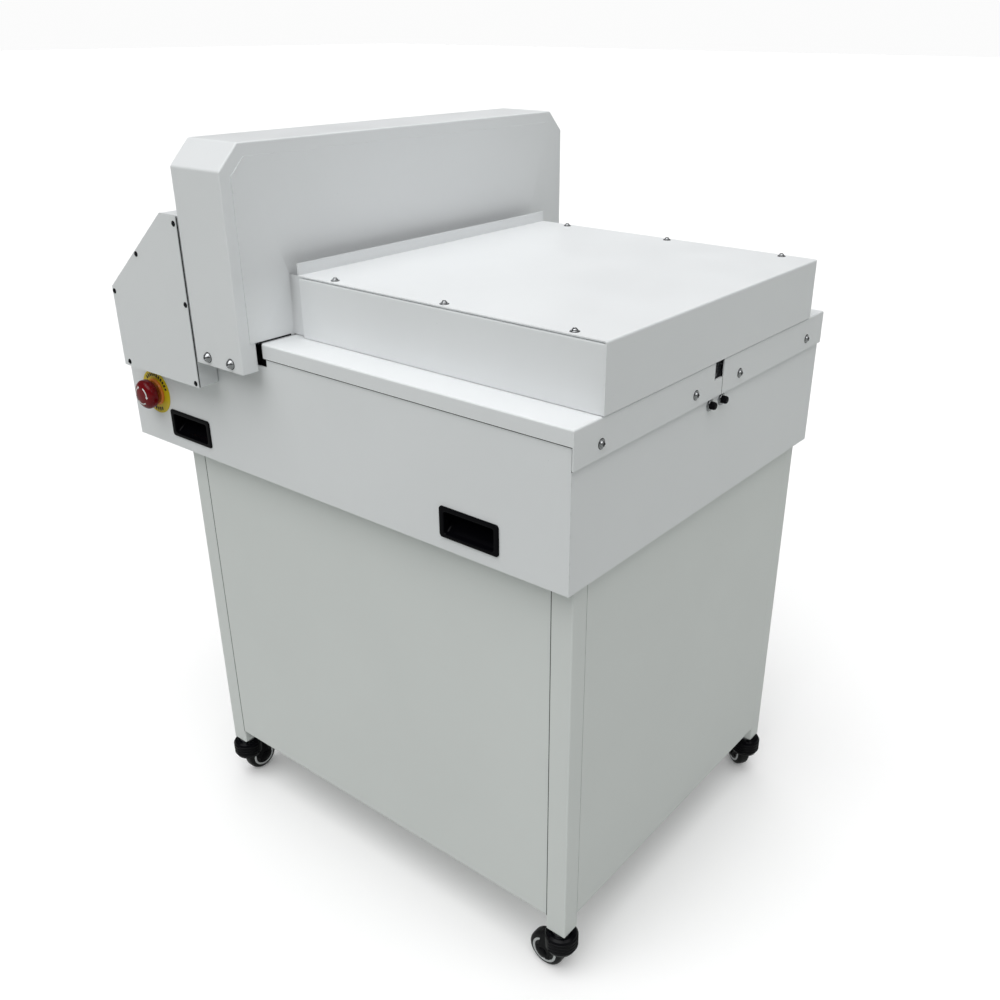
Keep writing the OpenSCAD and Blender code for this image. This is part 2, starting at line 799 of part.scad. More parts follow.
// Loop of belt about two pulleys of one plane, drawn in XY from the first at the origin
module belt_loop(r1, r2, span, w) {
    linear_extrude(w) difference() {
        hull() {
            circle(r = r1 + gap + belt_t, $fn = 32);
            translate([span, 0]) circle(r = r2 + gap + belt_t, $fn = 32);
        }
        hull() {
            circle(r = r1 + gap, $fn = 32);
            translate([span, 0]) circle(r = r2 + gap, $fn = 32);
        }
    }
}

module drive_belts() {
    color([0.06, 0.06, 0.06]) {
        translate([0, clamp_y, clamp_pulley_z + (clamp_pulley_w - belt_w) / 2])
            belt_loop(clamp_pulley_d / 2, motor_pulley_d / 2, clamp_motor_x, belt_w);
        translate([0, pulley_y + belt_w / 2, gauge_screw_z]) rotate([90, 90, 0])
            belt_loop(gauge_pulley_d / 2, motor_pulley_d / 2, gauge_screw_z - gauge_motor_z, belt_w);
    }
}

// ---- back gauge ----

module backgauge() {
    z0 = table_z + 0.6;
    color(steel_grey) difference() {
        union() {
            block([-222, gauge_y, z0], [222, gauge_y + gauge_t, z0 + 42]);
            block([-rod_x, gauge_y + gauge_t, z0], [rod_x, bracket_y1, z0 + 8]);
            block([-9, bracket_y0, gauge_screw_z], [9, bracket_y1, z0]);
            block([-rod_x - 15, bracket_y0, gauge_screw_z - gauge_plate_h],
                [rod_x + 15, bracket_y1, gauge_screw_z + gauge_plate_h]);
        }
        for (x = [-rod_x, 0, rod_x])
            rod_along_y(bracket_y0 - eps, bracket_y1 + eps, x, gauge_screw_z, gauge_screw_d + 2 * run);
    }
}

module leadscrew() {
    color(steel_grey) {
        rod_along_y(pulley_y - pulley_w, rail_plate_ys[1] + rail_plate_t, 0,
            gauge_screw_z, gauge_screw_d);
        rod_along_y(pulley_y - pulley_w / 2, pulley_y + pulley_w / 2, 0, gauge_screw_z, gauge_pulley_d);
    }
}

module gauge_rails() {
    color(dark_steel) {
        difference() {
            for (y = rail_plate_ys)
                block([-rod_x - 20, y, gauge_screw_z - gauge_plate_h],
                    [rod_x + 20, y + rail_plate_t, table_z - table_t]);
            rod_along_y(rail_plate_ys[0] - eps, base_rear_y, 0, gauge_screw_z, gauge_screw_d + 2 * run);
        }
        for (x = [-rod_x, rod_x])
            rod_along_y(rail_plate_ys[0] + rail_plate_t, rail_plate_ys[1], x,
                gauge_screw_z, gauge_screw_d);
    }
}

module gauge_motor() {
    z = gauge_motor_z;
    color([0.15, 0.15, 0.16]) {
        block([-28, -76, z - 28], [28, -20, z + 28]);
        rod_along_y(pulley_y - pulley_w, -76, 0, z, motor_shaft_d);
        rod_along_y(pulley_y - pulley_w / 2, pulley_y + pulley_w / 2, 0, z, motor_pulley_d);
        block([-34, -76, deck_z + sheet], [34, -20, z - 28]);
    }
}

// ---- head, consoles and covers ----

module head_shell() {
    color(white_paint) difference() {
        plate_xz(head_outline(0, head_bottom), head_front, head_rear);
        plate_xz(head_outline(sheet, head_bottom - eps), head_front + sheet, head_rear - sheet);
        plate_xz(head_outline(head_flange, head_bottom - eps), head_front - eps, head_rear + eps);
    }
}

module head_rear_panel() {
    y1 = head_rear + panel_t;
    color(white_paint) {
        difference() {
            union() {
                plate_xz(head_outline(panel_inset, table_z + 2), head_rear, y1);
                block([-side_x + 2, head_rear, table_z - 6], [side_x - 2, y1, table_z + 10]);
            }
            block([-frame_x0, head_rear - eps, table_z - 7], [frame_x0, y1 + eps, table_z + 68]);
        }
        both_sides()
            block([frame_x0, head_rear, table_z + 1], [frame_x0 + panel_t, cover_front - 1, table_z + 74]);
    }
}

module head_front_panel() {
    z0 = table_z + 70;
    color(white_paint)
        plate_xz(head_outline(panel_inset, z0), head_front - sheet, head_front);
}

// Console without its outer plate, drawn for the +X side
module console_box() {
    x1 = console_x - sheet;
    low = [head_front - 1, console_bottom - eps];
    difference() {
        plate_yz(console_outline(0), console_in, x1);
        difference() {
            plate_yz(console_outline(sheet), console_in + sheet, x1 + eps);
            block([console_in, console_front, console_bottom], [side_x + 2.2, low[0], table_z + sheet]);
        }
        block([console_in - eps, console_front - eps, low[1]], [side_x + 0.7, low[0], table_z]);
        rod_along_x(console_in - eps, console_in + sheet + eps, guard_y, guard_z,
            guard_pin_d + 2 * run);
    }
}

module console_boxes() { color(white_paint) both_sides() console_box(); }

module console_plates() {
    color(white_paint) both_sides() plate_yz(console_outline(0), console_x - sheet, console_x);
}

module console_screws() {
    spots = [
        [head_front - 7, console_top - 10], [head_front - 96, console_mid + 49.5],
        [console_front + 4, console_mid - 6], [head_front - 6, console_mid],
        [console_front + 12, console_bottom + 6], [head_front - 8, console_bottom + 5]
    ];
    color(dark_steel) both_sides() for (s = spots)
        translate([console_x, s[0], s[1]]) rotate([0, 90, 0]) pan_head(5.5, 1.6);
}

module panel_screws() {
    color(steel_grey) {
        both_sides() {
            for (y = cover_screw_ys)
                translate([cover_screw_x, y, table_z + cover_h]) pan_head(9, 3.4);
            for (x = flange_screw_xs)
                translate([x, table_rear, flange_screw_z]) rotate([-90, 0, 0]) pan_head(9.5, 3.2);
            for (y = [-151.3, -107])
                translate([head_w / 2, y, head_bottom + 10]) rotate([0, 90, 0]) pan_head(12.2, 5.5);
        }
    }
}

module rear_cover() {
    x0 = cover_w / 2;
    y1 = table_rear + sheet;
    z1 = table_z + cover_h;
    color(white_paint) {
        block([-x0, cover_front, z1 - sheet], [x0, y1, z1]);
        block([-x0, cover_front, z1 - sheet], [x0, cover_front + sheet, z1 + upstand_h]);
        block([-x0, y1 - sheet, table_z], [x0, y1, z1 - sheet]);
    }
}

module cover_sides() {
    x0 = cover_w / 2;
    z1 = table_z + cover_h - sheet;
    color(white_paint) both_sides() {
        block([x0 - sheet, cover_front + sheet, table_z], [x0, table_rear, z1]);
        block([x0 - 18, cover_front + sheet, z1 - sheet], [x0 - sheet, table_rear, z1]);
    }
}

// Clear guard over the front table, hinged on two pins in the consoles
module guard() {
    color([0.7, 0.8, 0.85, 0.35]) {
        rod_along_x(-guard_x, guard_x, guard_y, guard_z, guard_rod_d);
        rod_along_x(-console_in - 1, console_in + 1, guard_y, guard_z, guard_pin_d);
        translate([-guard_x, guard_y, guard_z]) rotate([guard_angle, 0, 0])
            translate([0, 0, -guard_t / 2]) cube([2 * guard_x, guard_len, guard_t]);
    }
}

// Control panel on the front of the head, with its display and keys
module control_panel() {
    y0 = head_front - 1.5;
    color([0.15, 0.16, 0.18]) {
        block([-120, y0 - 5, 880], [120, y0, 965]);
        block([-104, y0 - 6, 905], [-14, y0 - 5, 955]);
        for (i = [0:3], j = [0:2])
            block([4 + i * 27, y0 - 7, 890 + j * 24], [24 + i * 27, y0 - 5, 906 + j * 24]);
    }
}

cabinet_frame();
cabinet_sides();
cabinet_rear();
cabinet_floor();
cabinet_door();
caster_stems();
caster_fork_front_right();
caster_fork_front_left();
caster_fork_rear_right();
caster_fork_rear_left();
caster_wheel_front_right();
caster_wheel_front_left();
caster_wheel_rear_right();
caster_wheel_rear_left();
caster_pedal_front_right();
caster_pedal_front_left();
base_sides();
base_rear();
base_tray();
recess_handles();
stop_switch();
stop_stem();
stop_cap();
fuse_holders();
fuse_cap_right();
fuse_cap_left();
rear_table_right();
rear_table_left();
bed();
press_frame();
cutting_stick();
knife_bar();
knife();
knife_bolts();
pull_rod();
drive_crank();
gearmotor();
clamp_bar();
clamp_screw();
clamp_motor();
backgauge();
leadscrew();
gauge_motor();
gauge_rails();
drive_belts();
console_boxes();
console_plates();
console_screws();
panel_screws();
head_shell();
head_rear_panel();
head_front_panel();
rear_cover();
cover_sides();
guard();
cut_button_right();
cut_button_left();
main_switch();
power_inlet();
control_panel();
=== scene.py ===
"""Looks of an electric paper cutter on a cabinet stand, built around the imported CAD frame.

Everything is in metres in the CAD frame: +X is the operator's right, -Y is the operator's side and
+Z is up. Sheet-metal nodes are rebuilt with bend radii, small parts are modelled in full, and the
nodes whose CAD shape is right keep it with fine edge bevels.
"""

import json
import math

import bmesh
import bpy
from mathutils import Euler, Matrix, Vector


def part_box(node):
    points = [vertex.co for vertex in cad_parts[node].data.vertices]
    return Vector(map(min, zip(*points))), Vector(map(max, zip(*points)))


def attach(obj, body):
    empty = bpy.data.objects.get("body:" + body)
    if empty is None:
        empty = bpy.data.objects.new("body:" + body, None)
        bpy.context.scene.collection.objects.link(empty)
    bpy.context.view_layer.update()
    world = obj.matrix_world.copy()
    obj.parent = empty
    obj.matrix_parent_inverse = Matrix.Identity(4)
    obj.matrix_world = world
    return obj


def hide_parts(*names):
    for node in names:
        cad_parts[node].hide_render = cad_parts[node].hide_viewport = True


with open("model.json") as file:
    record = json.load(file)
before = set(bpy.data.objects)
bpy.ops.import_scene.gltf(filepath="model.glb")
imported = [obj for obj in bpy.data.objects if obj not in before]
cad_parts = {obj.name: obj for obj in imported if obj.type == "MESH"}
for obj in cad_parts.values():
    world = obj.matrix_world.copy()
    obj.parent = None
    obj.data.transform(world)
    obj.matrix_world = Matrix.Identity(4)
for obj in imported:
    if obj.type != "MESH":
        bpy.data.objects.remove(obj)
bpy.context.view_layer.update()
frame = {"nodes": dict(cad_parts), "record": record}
scene = bpy.context.scene
nodes = frame["nodes"]
behaviour = frame["record"]["behaviour"]
body_of_node = {node: body for body, names in behaviour["bodies"].items() for node in names}

MM = 0.001
AXES = {"X": Vector((1, 0, 0)), "Y": Vector((0, 1, 0)), "Z": Vector((0, 0, 1))}
CORNERS = ("front_right", "front_left", "rear_right", "rear_left")

# Values of the CAD design, in mm
SHEET = 1.5
WHEEL_W = 20.0
HANDLE_W = 85.0
COVER_SCREW_YS = (-8.0, 163.0, 335.0)
FLANGE_SCREW_XS = (52.0, 239.0)
HEAD_SCREW_YS = (-151.3, -107.0)
DOOR_PULL = (205.0, 430.0)
KNOB_REACH = 16.0
SIDE_FLANGE_Z = 746.0
FLANGE_SEAM = -9.0
NOTCH_Z = 742.0
# Thickness of the head's rear panel
PANEL_SHEET = 1.2
# Width of the seam between a cabinet panel and a leg, which holds a dark strip of painted shadow
LEG_SEAM = 0.8
# Half the width of the opening between the head's inner flanges
OPENING_HALF = 291.0

# How far the rear table's side flanges and the step of the base side panel reach forwards of
# their CAD place, in mm
FLANGE_REACH = 4.0
STEP_REACH = 4.5
# By how much the cover's sheets end short, in mm, to show the gap lines of the photograph
SIDE_TOP_GAP = 0.9
SIDE_FOOT_GAP = 0.7
REAR_FOOT_GAP = 0.6

# The control panel's display and keys, in mm from the middle and the floor
DIGIT_PITCH = 18.5
KEY_PITCH_X = 27
KEY_PITCH_Z = 24
KEYS_LEFT = 4
KEYS_LOW = 890
KEY_ROWS = (("7", "8", "9", "up"), ("4", "5", "6", "down"), ("1", "2", "3", "0"))
GUARD_CLAMP_XS = (-190, 0, 190)

# The studio sky, from its lowest to its highest part
SKY_LOW = (0.75, 0.76, 0.77, 1)
SKY_HIGH = (1.0, 1.0, 1.0, 1)
SKY_STRENGTH = 0.16
# The colour of the light that the floor throws back on the object
FLOOR_BOUNCE = (0.34, 0.355, 0.34, 1)
FLOOR_GLOW = 0.09
# Name, azimuth and elevation in degrees, strength, and width in degrees
LAMPS = (
    ("top_light", 0.0, 85.0, 0.82, 60.0),
    ("key_light", 90.0, 58.0, 1.66, 60.0),
    ("rear_fill", 180.0, 48.0, 0.72, 60.0),
    ("front_fill", 300.0, 45.0, 0.35, 60.0),
)
# The camera's place in metres, its turn in degrees, its lens in mm, and its shift
CAMERA_AT = (1.02907, 0.90418, 1.11375)
CAMERA_TURN = (64.1303, -0.2569, 127.9693)
LENS = 36.925
SHIFT = (-0.0312, 0.0172)


# ---------------------------------------------------------------- materials

class Finish:
    """A Principled material whose colour, roughness and bump come from node patterns."""

    def __init__(self, name, **sockets):
        self.material = bpy.data.materials.new(name)
        self.material.use_nodes = True
        self.tree = self.material.node_tree
        self.shader = self.tree.nodes["Principled BSDF"]
        for key, value in sockets.items():
            self.shader.inputs[key.replace("_", " ")].default_value = value

    def node(self, kind, inputs=None, **settings):
        """Adds a node; an input is a constant or another node's output."""
        made = self.tree.nodes.new(kind)
        for key, value in settings.items():
            setattr(made, key, value)
        for key, value in (inputs or {}).items():
            if isinstance(value, bpy.types.NodeSocket):
                self.tree.links.new(value, made.inputs[key])
            else:
                made.inputs[key].default_value = value
        return made

    def place(self, scale=(1, 1, 1)):
        """The object's own coordinates, in metres, stretched by scale."""
        where = self.node("ShaderNodeTexCoord").outputs["Object"]
        return self.node("ShaderNodeMapping", {"Vector": where, "Scale": scale}).outputs["Vector"]

    def noise(self, scale, detail=3.0, stretch=(1, 1, 1), roughness=0.5):
        where = self.place(stretch)
        inputs = {"Vector": where, "Scale": scale, "Detail": detail, "Roughness": roughness}
        return self.node("ShaderNodeTexNoise", inputs).outputs["Fac"]

    def remap(self, value, low, high, to_low, to_high):
        inputs = {"Value": value, "From Min": low, "From Max": high}
        inputs.update({"To Min": to_low, "To Max": to_high})
        return self.node("ShaderNodeMapRange", inputs).outputs["Result"]

    def multiply(self, a, b):
        return self.node("ShaderNodeMath", {0: a, 1: b}, operation="MULTIPLY").outputs[0]

    def mix(self, fac, a, b):
        made = self.node("ShaderNodeMix", {0: fac, 6: a, 7: b}, data_type="RGBA")
        return made.outputs[2]

    def edges(self, radius):
        """About 1 along edges sharper than radius, and 0 on flat faces."""
        normal = self.node("ShaderNodeNewGeometry").outputs["Normal"]
        round_normal = self.node("ShaderNodeBevel", {"Radius": radius}, samples=3).outputs["Normal"]
        inputs = {0: normal, 1: round_normal}
        same = self.node("ShaderNodeVectorMath", inputs, operation="DOT_PRODUCT").outputs["Value"]
        return self.remap(same, 0.995, 0.8, 0.0, 1.0)

    def bump(self, height, distance, strength=1.0):
        """Stacks a bump of that height in metres on those before it."""
        inputs = {"Height": height, "Distance": distance, "Strength": strength}
        made = self.node("ShaderNodeBump", inputs)
        before = self.shader.inputs["Normal"].links
        if before:
            self.tree.links.new(before[0].from_socket, made.inputs["Normal"])
        self.tree.links.new(made.outputs["Normal"], self.shader.inputs["Normal"])

    def drive(self, socket, value):
        """Joins a pattern to one of the shader's sockets."""
        self.tree.links.new(value, self.shader.inputs[socket])

    def rough(self, pattern, low, high):
        """Lets the roughness follow a noise, between two values."""
        self.drive("Roughness", self.remap(pattern, 0.3, 0.7, low, high))


def shade(colour, factor):
    """A colour made darker or lighter, with its alpha."""
    return tuple(min(1.0, c * factor) for c in colour[:3]) + (1.0,)


def powder_coat(name, colour):
    """Light powder coat: orange peel, faint clouding, dark specks and thin, slightly worn edges."""
    finish = Finish(name, Specular_IOR_Level=0.5, Coat_Weight=0.12, Coat_Roughness=0.25)
    cloud = finish.remap(finish.noise(4.0, 4.0), 0.35, 0.65, 0.0, 1.0)
    base = finish.mix(cloud, shade(colour, 0.985), shade(colour, 1.01))
    specks = finish.remap(finish.noise(420.0, 1.0), 0.80, 0.83, 0.0, 0.35)
    base = finish.mix(specks, base, shade(colour, 0.55))
    patches = finish.remap(finish.noise(90.0, 4.0), 0.56, 0.70, 0.0, 0.8)
    worn = finish.multiply(finish.edges(1.2 * MM), patches)
    base = finish.mix(worn, base, shade(colour, 0.72))
    finish.drive("Base Color", base)
    finish.rough(finish.noise(14.0, 5.0, roughness=0.6), 0.34, 0.46)
    finish.bump(finish.noise(520.0, 2.0), 0.03 * MM, 0.9)
    finish.bump(finish.noise(9.0, 1.0), 0.35 * MM, 0.35)
    return finish.material


def moulded(name, colour, roughness, grain=0.02, clear=0.0, shine=0.5):
    """Moulded plastic: fine grain, faint flow clouding and rubbed edges. The grain is in mm."""
    finish = Finish(name, Specular_IOR_Level=shine, Coat_Weight=clear, Coat_Roughness=0.08)
    base = finish.mix(finish.noise(30.0, 4.0), shade(colour, 0.85), shade(colour, 1.15))
    patches = finish.remap(finish.noise(160.0, 3.0), 0.45, 0.65, 0.0, 0.5)
    rubbed = finish.multiply(finish.edges(0.6 * MM), patches)
    lighter = shade([c * 1.4 + 0.003 for c in colour], 1.0)
    finish.drive("Base Color", finish.mix(rubbed, base, lighter))
    finish.rough(finish.noise(45.0, 4.0), roughness * 0.8, roughness * 1.25)
    finish.bump(finish.noise(1500.0, 2.0), grain * MM)
    return finish.material


def metal(name, colour, roughness, streak=(1, 1, 1), depth=0.004, scale=900.0):
    """Bare or plated metal with fine streaks along one axis and dull patches."""
    finish = Finish(name, Metallic=1.0)
    lines = finish.noise(scale, 2.0, streak)
    patches = finish.remap(finish.noise(18.0, 4.0), 0.35, 0.7, 0.0, 1.0)
    base = finish.mix(patches, shade(colour, 0.9), shade(colour, 1.05))
    finish.drive("Base Color", finish.mix(lines, shade(colour, 0.93), base))
    finish.drive("Roughness", finish.remap(lines, 0.25, 0.75, roughness * 0.75, roughness * 1.3))
    finish.bump(lines, depth * MM)
    return finish.material


def enamel(name, colour, roughness=0.35):
    """Painted machine parts: a slightly lumpy coat over castings and bars."""
    finish = Finish(name, Specular_IOR_Level=0.5)
    base = finish.mix(finish.noise(22.0, 5.0), shade(colour, 0.85), shade(colour, 1.15))
    patches = finish.remap(finish.noise(120.0, 4.0), 0.5, 0.62, 0.0, 0.8)
    bare = finish.multiply(finish.edges(0.8 * MM), patches)
    finish.drive("Base Color", finish.mix(bare, base, (0.35, 0.35, 0.36, 1)))
    finish.rough(finish.noise(35.0, 4.0), roughness * 0.8, roughness * 1.3)
    finish.bump(finish.noise(260.0, 3.0), 0.04 * MM)
    return finish.material


def rubber(name, colour=(0.006, 0.006, 0.007), roughness=0.3):
    """Rubber or polyurethane with a slightly dusty, scuffed surface."""
    finish = Finish(name, Specular_IOR_Level=0.22)
    dust = finish.remap(finish.noise(70.0, 5.0), 0.48, 0.75, 0.0, 0.3)
    finish.drive("Base Color", finish.mix(dust, shade(colour, 1.0), (0.035, 0.034, 0.032, 1)))
    finish.rough(finish.noise(60.0, 4.0), roughness * 0.8, roughness * 1.2)
    finish.bump(finish.noise(800.0, 3.0), 0.03 * MM)
    return finish.material


def clear_sheet(name):
    """Clear polycarbonate with a faint cool tint and fine wiping marks."""
    finish = Finish(name, Transmission_Weight=1.0, IOR=1.5, Base_Color=(0.93, 0.97, 0.98, 1))
    wipes = finish.noise(30.0, 5.0, (1, 14, 14))
    finish.drive("Roughness", finish.remap(wipes, 0.4, 0.7, 0.02, 0.09))
    finish.bump(finish.noise(6.0, 1.0), 0.1 * MM, 0.3)
    return finish.material


def lit(name, colour, strength):
    """Segments and lamps that glow, with a slightly uneven light."""
    finish = Finish(name, Emission_Strength=strength, Roughness=0.4)
    glow = finish.mix(finish.noise(300.0, 2.0), shade(colour, 0.85), shade(colour, 1.0))
    finish.drive("Emission Color", glow)
    finish.drive("Base Color", glow)
    return finish.material


PAINT = powder_coat("white_powder_coat", (0.82, 0.84, 0.85))
# The cabinet's coat is a greener, darker copy of the white coat: painted shade and a painted green tint
# of reflected light
SHADED_CABINET_PAINT = powder_coat("cabinet_shaded_powder_coat", (0.745, 0.775, 0.757))
GLOSS_BLACK = moulded("gloss_black_plastic", (0.002, 0.002, 0.003), 0.12, 0.004, 0.0, 0.06)
# Black plastic parts, and also the dark rings and recess bars of painted shade on the small black screws
MATT_BLACK_AND_SHADE = moulded("black_plastic", (0.004, 0.004, 0.005), 0.42, 0.03, 0.0, 0.06)
CASTER_BLACK = moulded("caster_plastic", (0.002, 0.002, 0.003), 0.16, 0.006, 0.0, 0.1)
RED_CAP = moulded("stop_red_plastic", (0.17, 0.002, 0.005), 0.2, 0.004, 0.0, 0.25)
COLLAR = moulded("stop_collar_plastic", (0.80, 0.22, 0.015), 0.3, 0.005, 0.1)
YELLOW = moulded("stop_yellow_plastic", (0.70, 0.54, 0.012), 0.4, 0.01, 0.0, 0.4)
WHITE_MARK = moulded("white_mark", (0.82, 0.82, 0.80), 0.45, 0.01)
DARK_MARK = moulded("dark_mark", (0.02, 0.018, 0.01), 0.5, 0.01, 0.0, 0.3)
GREEN = moulded("green_plastic", (0.03, 0.33, 0.09), 0.25, 0.005, 0.3)
ROCKER_RED = moulded("rocker_red_plastic", (0.42, 0.015, 0.015), 0.3, 0.005, 0.2)
STICK_RED = moulded("stick_red_plastic", (0.55, 0.05, 0.035), 0.4, 0.02)
PANEL_DARK = moulded("panel_film", (0.05, 0.055, 0.062), 0.38, 0.015)
KEY_GREY = moulded("key_film", (0.30, 0.32, 0.34), 0.42, 0.015)
KEY_BLUE = moulded("key_blue_film", (0.06, 0.17, 0.38), 0.4, 0.015)
CHROME = metal("nickel_plate", (0.40, 0.41, 0.42), 0.13, (1, 1, 1), 0.002, 600.0)
SILVER_RING = metal("silver_ring", (0.86, 0.87, 0.89), 0.22, (1, 1, 1), 0.003, 500.0)
STEEL = metal("machined_steel", (0.56, 0.57, 0.59), 0.3, (1, 14, 14), 0.004, 120.0)
GROUND_TOP = metal("ground_cast_iron", (0.50, 0.51, 0.52), 0.36, (26, 1, 1), 0.006, 60.0)
BLADE = metal("knife_steel", (0.70, 0.71, 0.73), 0.18, (1, 18, 18), 0.003, 90.0)
# Black screws, and also the dark rings and recess bars of painted shade on the bright screws
DARK_SCREW_AND_SHADE = metal("black_oxide_and_screw_shade", (0.03, 0.03, 0.035), 0.26, (1, 1, 1), 0.003, 500.0)
BRASS = metal("brass_pin", (0.62, 0.47, 0.20), 0.25, (1, 1, 1), 0.002, 500.0)
BLACK_STEEL = enamel("blackened_steel", (0.075, 0.08, 0.085), 0.38)
MOTOR_PAINT = enamel("motor_enamel", (0.09, 0.105, 0.13), 0.36)
TREAD = rubber("wheel_tread")
# Dark strips of painted shadow, laid in the sheet metal's gaps
GAP = rubber("painted_gap_shadow", (0.02, 0.021, 0.022), 0.8)
BELT = rubber("belt_rubber", (0.02, 0.02, 0.02), 0.7)
CLEAR = clear_sheet("clear_plate")
SCREEN = moulded("display_window", (0.008, 0.012, 0.02), 0.1, 0.002, 0.6)
DIGITS = lit("display_digits", (0.95, 0.18, 0.06, 1), 2.2)


# ---------------------------------------------------------------- building pieces

def finish_mesh(name, bm, material, body, replaces=(), sharp=32.0):
    """Turns a bmesh into a piece that rides on a body."""
    mesh = bpy.data.meshes.new(name)
    bm.to_mesh(mesh)
    bm.free()
    mesh.materials.append(material)
    mesh.shade_smooth()
    mesh.set_sharp_from_angle(angle=math.radians(sharp))
    obj = bpy.data.objects.new(name, mesh)
    scene.collection.objects.link(obj)
    weighted = obj.modifiers.new("even_normals", "WEIGHTED_NORMAL")
    weighted.keep_sharp = True
    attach(obj, body)
    if replaces:
        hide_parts(*replaces)
    return obj


def add_box(bm, lo, hi, radius=0.0, segments=2):
    """A box with rounded edges, between two corners."""
    made = bmesh.ops.create_cube(bm, size=1.0)["verts"]
    lo, hi = Vector(lo), Vector(hi)
    for v in made:
        v.co = Vector(lo[i] + (v.co[i] + 0.5) * (hi[i] - lo[i]) for i in range(3))
    if radius:
        edges = {e for v in made for e in v.link_edges}
        bmesh.ops.bevel(bm, geom=list(edges), offset=radius, segments=segments, profile=0.5,
                        affect="EDGES", clamp_overlap=True)


def directions(axis):
    """The direction of an axis such as "X" or "-Y", and two more square to it."""
    along = AXES[axis[-1]] * (-1 if axis[0] == "-" else 1)
    side = AXES["X"] if axis[-1] == "Z" else AXES["Z"]
    return along, side, along.cross(side)


def add_lathe(bm, profile, centre, axis, turns=48):
    """A turned shape. The profile is (distance along the axis, radius) and ends at radius 0 or
    where it began."""
    along, side, other = directions(axis)
    rings = []
    for distance, radius in profile:
        at = Vector(centre) + along * distance
        if radius < 1e-7:
            rings.append([bm.verts.new(at)])
            continue
        ring = []
        for i in range(turns):
            a = 2 * math.pi * i / turns
            ring.append(bm.verts.new(at + (side * math.cos(a) + other * math.sin(a)) * radius))
        rings.append(ring)
    for a, b in zip(rings, rings[1:]):
        for i in range(turns):
            j = (i + 1) % turns
            corners = [a[i % len(a)], a[j % len(a)], b[j % len(b)], b[i % len(b)]]
            corners = list(dict.fromkeys(corners))
            if len(corners) > 2:
                bm.faces.new(corners)


def add_prism(bm, outline, origin, u, v, depth):
    """An outline of (a, b) points drawn along u and v from origin, and pushed along u x v."""
    u, v = Vector(u), Vector(v)
    push = u.cross(v) * depth
    low = [bm.verts.new(Vector(origin) + u * a + v * b) for a, b in outline]
    high = [bm.verts.new(p.co + push) for p in low]
    bm.faces.new(low)
    bm.faces.new(high)
    for i in range(len(low)):
        j = (i + 1) % len(low)
        bm.faces.new([low[i], low[j], high[j], high[i]])


def regular(sides, radius, turn=0.0):
    """The corners of a regular polygon, turned by an angle in radians."""
    angles = [2 * math.pi * i / sides + turn for i in range(sides)]
    return [(radius * math.cos(a), radius * math.sin(a)) for a in angles]


def rounded(profile, radius, steps=4):
    """A profile whose inner corners are replaced by arcs of about that radius."""
    points = [Vector(p) for p in profile]
    made = [tuple(points[0])]
    for before, at, after in zip(points, points[1:], points[2:]):
        a, b = before - at, after - at
        cut = min(radius, a.length * 0.45, b.length * 0.45)
        start, end = at + a.normalized() * cut, at + b.normalized() * cut
        for i in range(steps + 1):
            t = i / steps
            made.append(tuple(start * (1 - t) ** 2 + at * 2 * t * (1 - t) + end * t * t))
    made.append(tuple(points[-1]))
    return made


def clean_copy(node):
    """A CAD node's mesh with its vertices joined and its flat faces whole."""
    bm = bmesh.new()
    bm.from_mesh(nodes[node].data)
    bmesh.ops.remove_doubles(bm, verts=bm.verts, dist=0.01 * MM)
    bmesh.ops.dissolve_limit(bm, angle_limit=math.radians(0.5), verts=bm.verts, edges=bm.edges)
    return bm


def fold(node, material=PAINT, bend=2.2):
    """Rebuilds a sheet-metal node with its bend radii, in mm."""
    bm = clean_copy(node)
    outer, inner = [], []
    for e in bm.edges:
        if len(e.link_faces) != 2 or e.calc_face_angle() < math.radians(25):
            continue
        width = min(2 * f.calc_area() / f.calc_perimeter() for f in e.link_faces)
        beside = [loop.link_loop_next.edge for loop in e.link_loops]
        beside += [loop.link_loop_prev.edge for loop in e.link_loops]
        room = min(edge.calc_length() for edge in beside)
        if e.calc_length() > 5 * MM and width > 3 * MM and room > 1.2 * bend * MM:
            (outer if e.calc_face_angle_signed() > 0 else inner).append(e)
    for edges, radius in ((outer, bend), (inner, bend - SHEET)):
        alive = [e for e in edges if e.is_valid]
        if alive:
            bmesh.ops.bevel(bm, geom=alive, offset=radius * MM, segments=4, profile=0.5,
                            affect="EDGES", clamp_overlap=False, loop_slide=False)
    bmesh.ops.triangulate(bm, faces=[f for f in bm.faces if len(f.verts) > 4])
    return finish_mesh(node + "_folded", bm, material, body_of_node[node], [node])


def keep(node, material, edge=0.35):
    """Keeps a CAD node, with a material of its own and finely bevelled edges."""
    obj = nodes[node]
    for place in obj.material_slots:
        place.link = "OBJECT"
        place.material = material
    weld = obj.modifiers.new("weld", "WELD")
    weld.merge_threshold = 0.01 * MM
    bevel = obj.modifiers.new("edges", "BEVEL")
    bevel.width = edge * MM
    bevel.segments = 2
    bevel.limit_method = "ANGLE"
    bevel.angle_limit = math.radians(34)
    bevel.use_clamp_overlap = True
    even = obj.modifiers.new("even_normals", "WEIGHTED_NORMAL")
    even.keep_sharp = True


# ---------------------------------------------------------------- sheet metal

# The cabinet's sheets and door take the copy of the coat with painted shade and painted green light
for name in ("cabinet_frame", "cabinet_sides", "cabinet_rear", "cabinet_floor"):
    fold(name, SHADED_CABINET_PAINT)
keep("cabinet_door", SHADED_CABINET_PAINT, 1.2)
# The folded pieces whose gaps make_seams opens
folded = {}
for name in ("base_sides", "base_rear", "base_tray", "rear_table_right", "rear_table_left",
             "head_shell", "head_rear_panel", "head_front_panel", "console_boxes", "console_plates",
             "rear_cover", "cover_sides"):
    folded[name] = fold(name)


# ---------------------------------------------------------------- machine parts kept from CAD

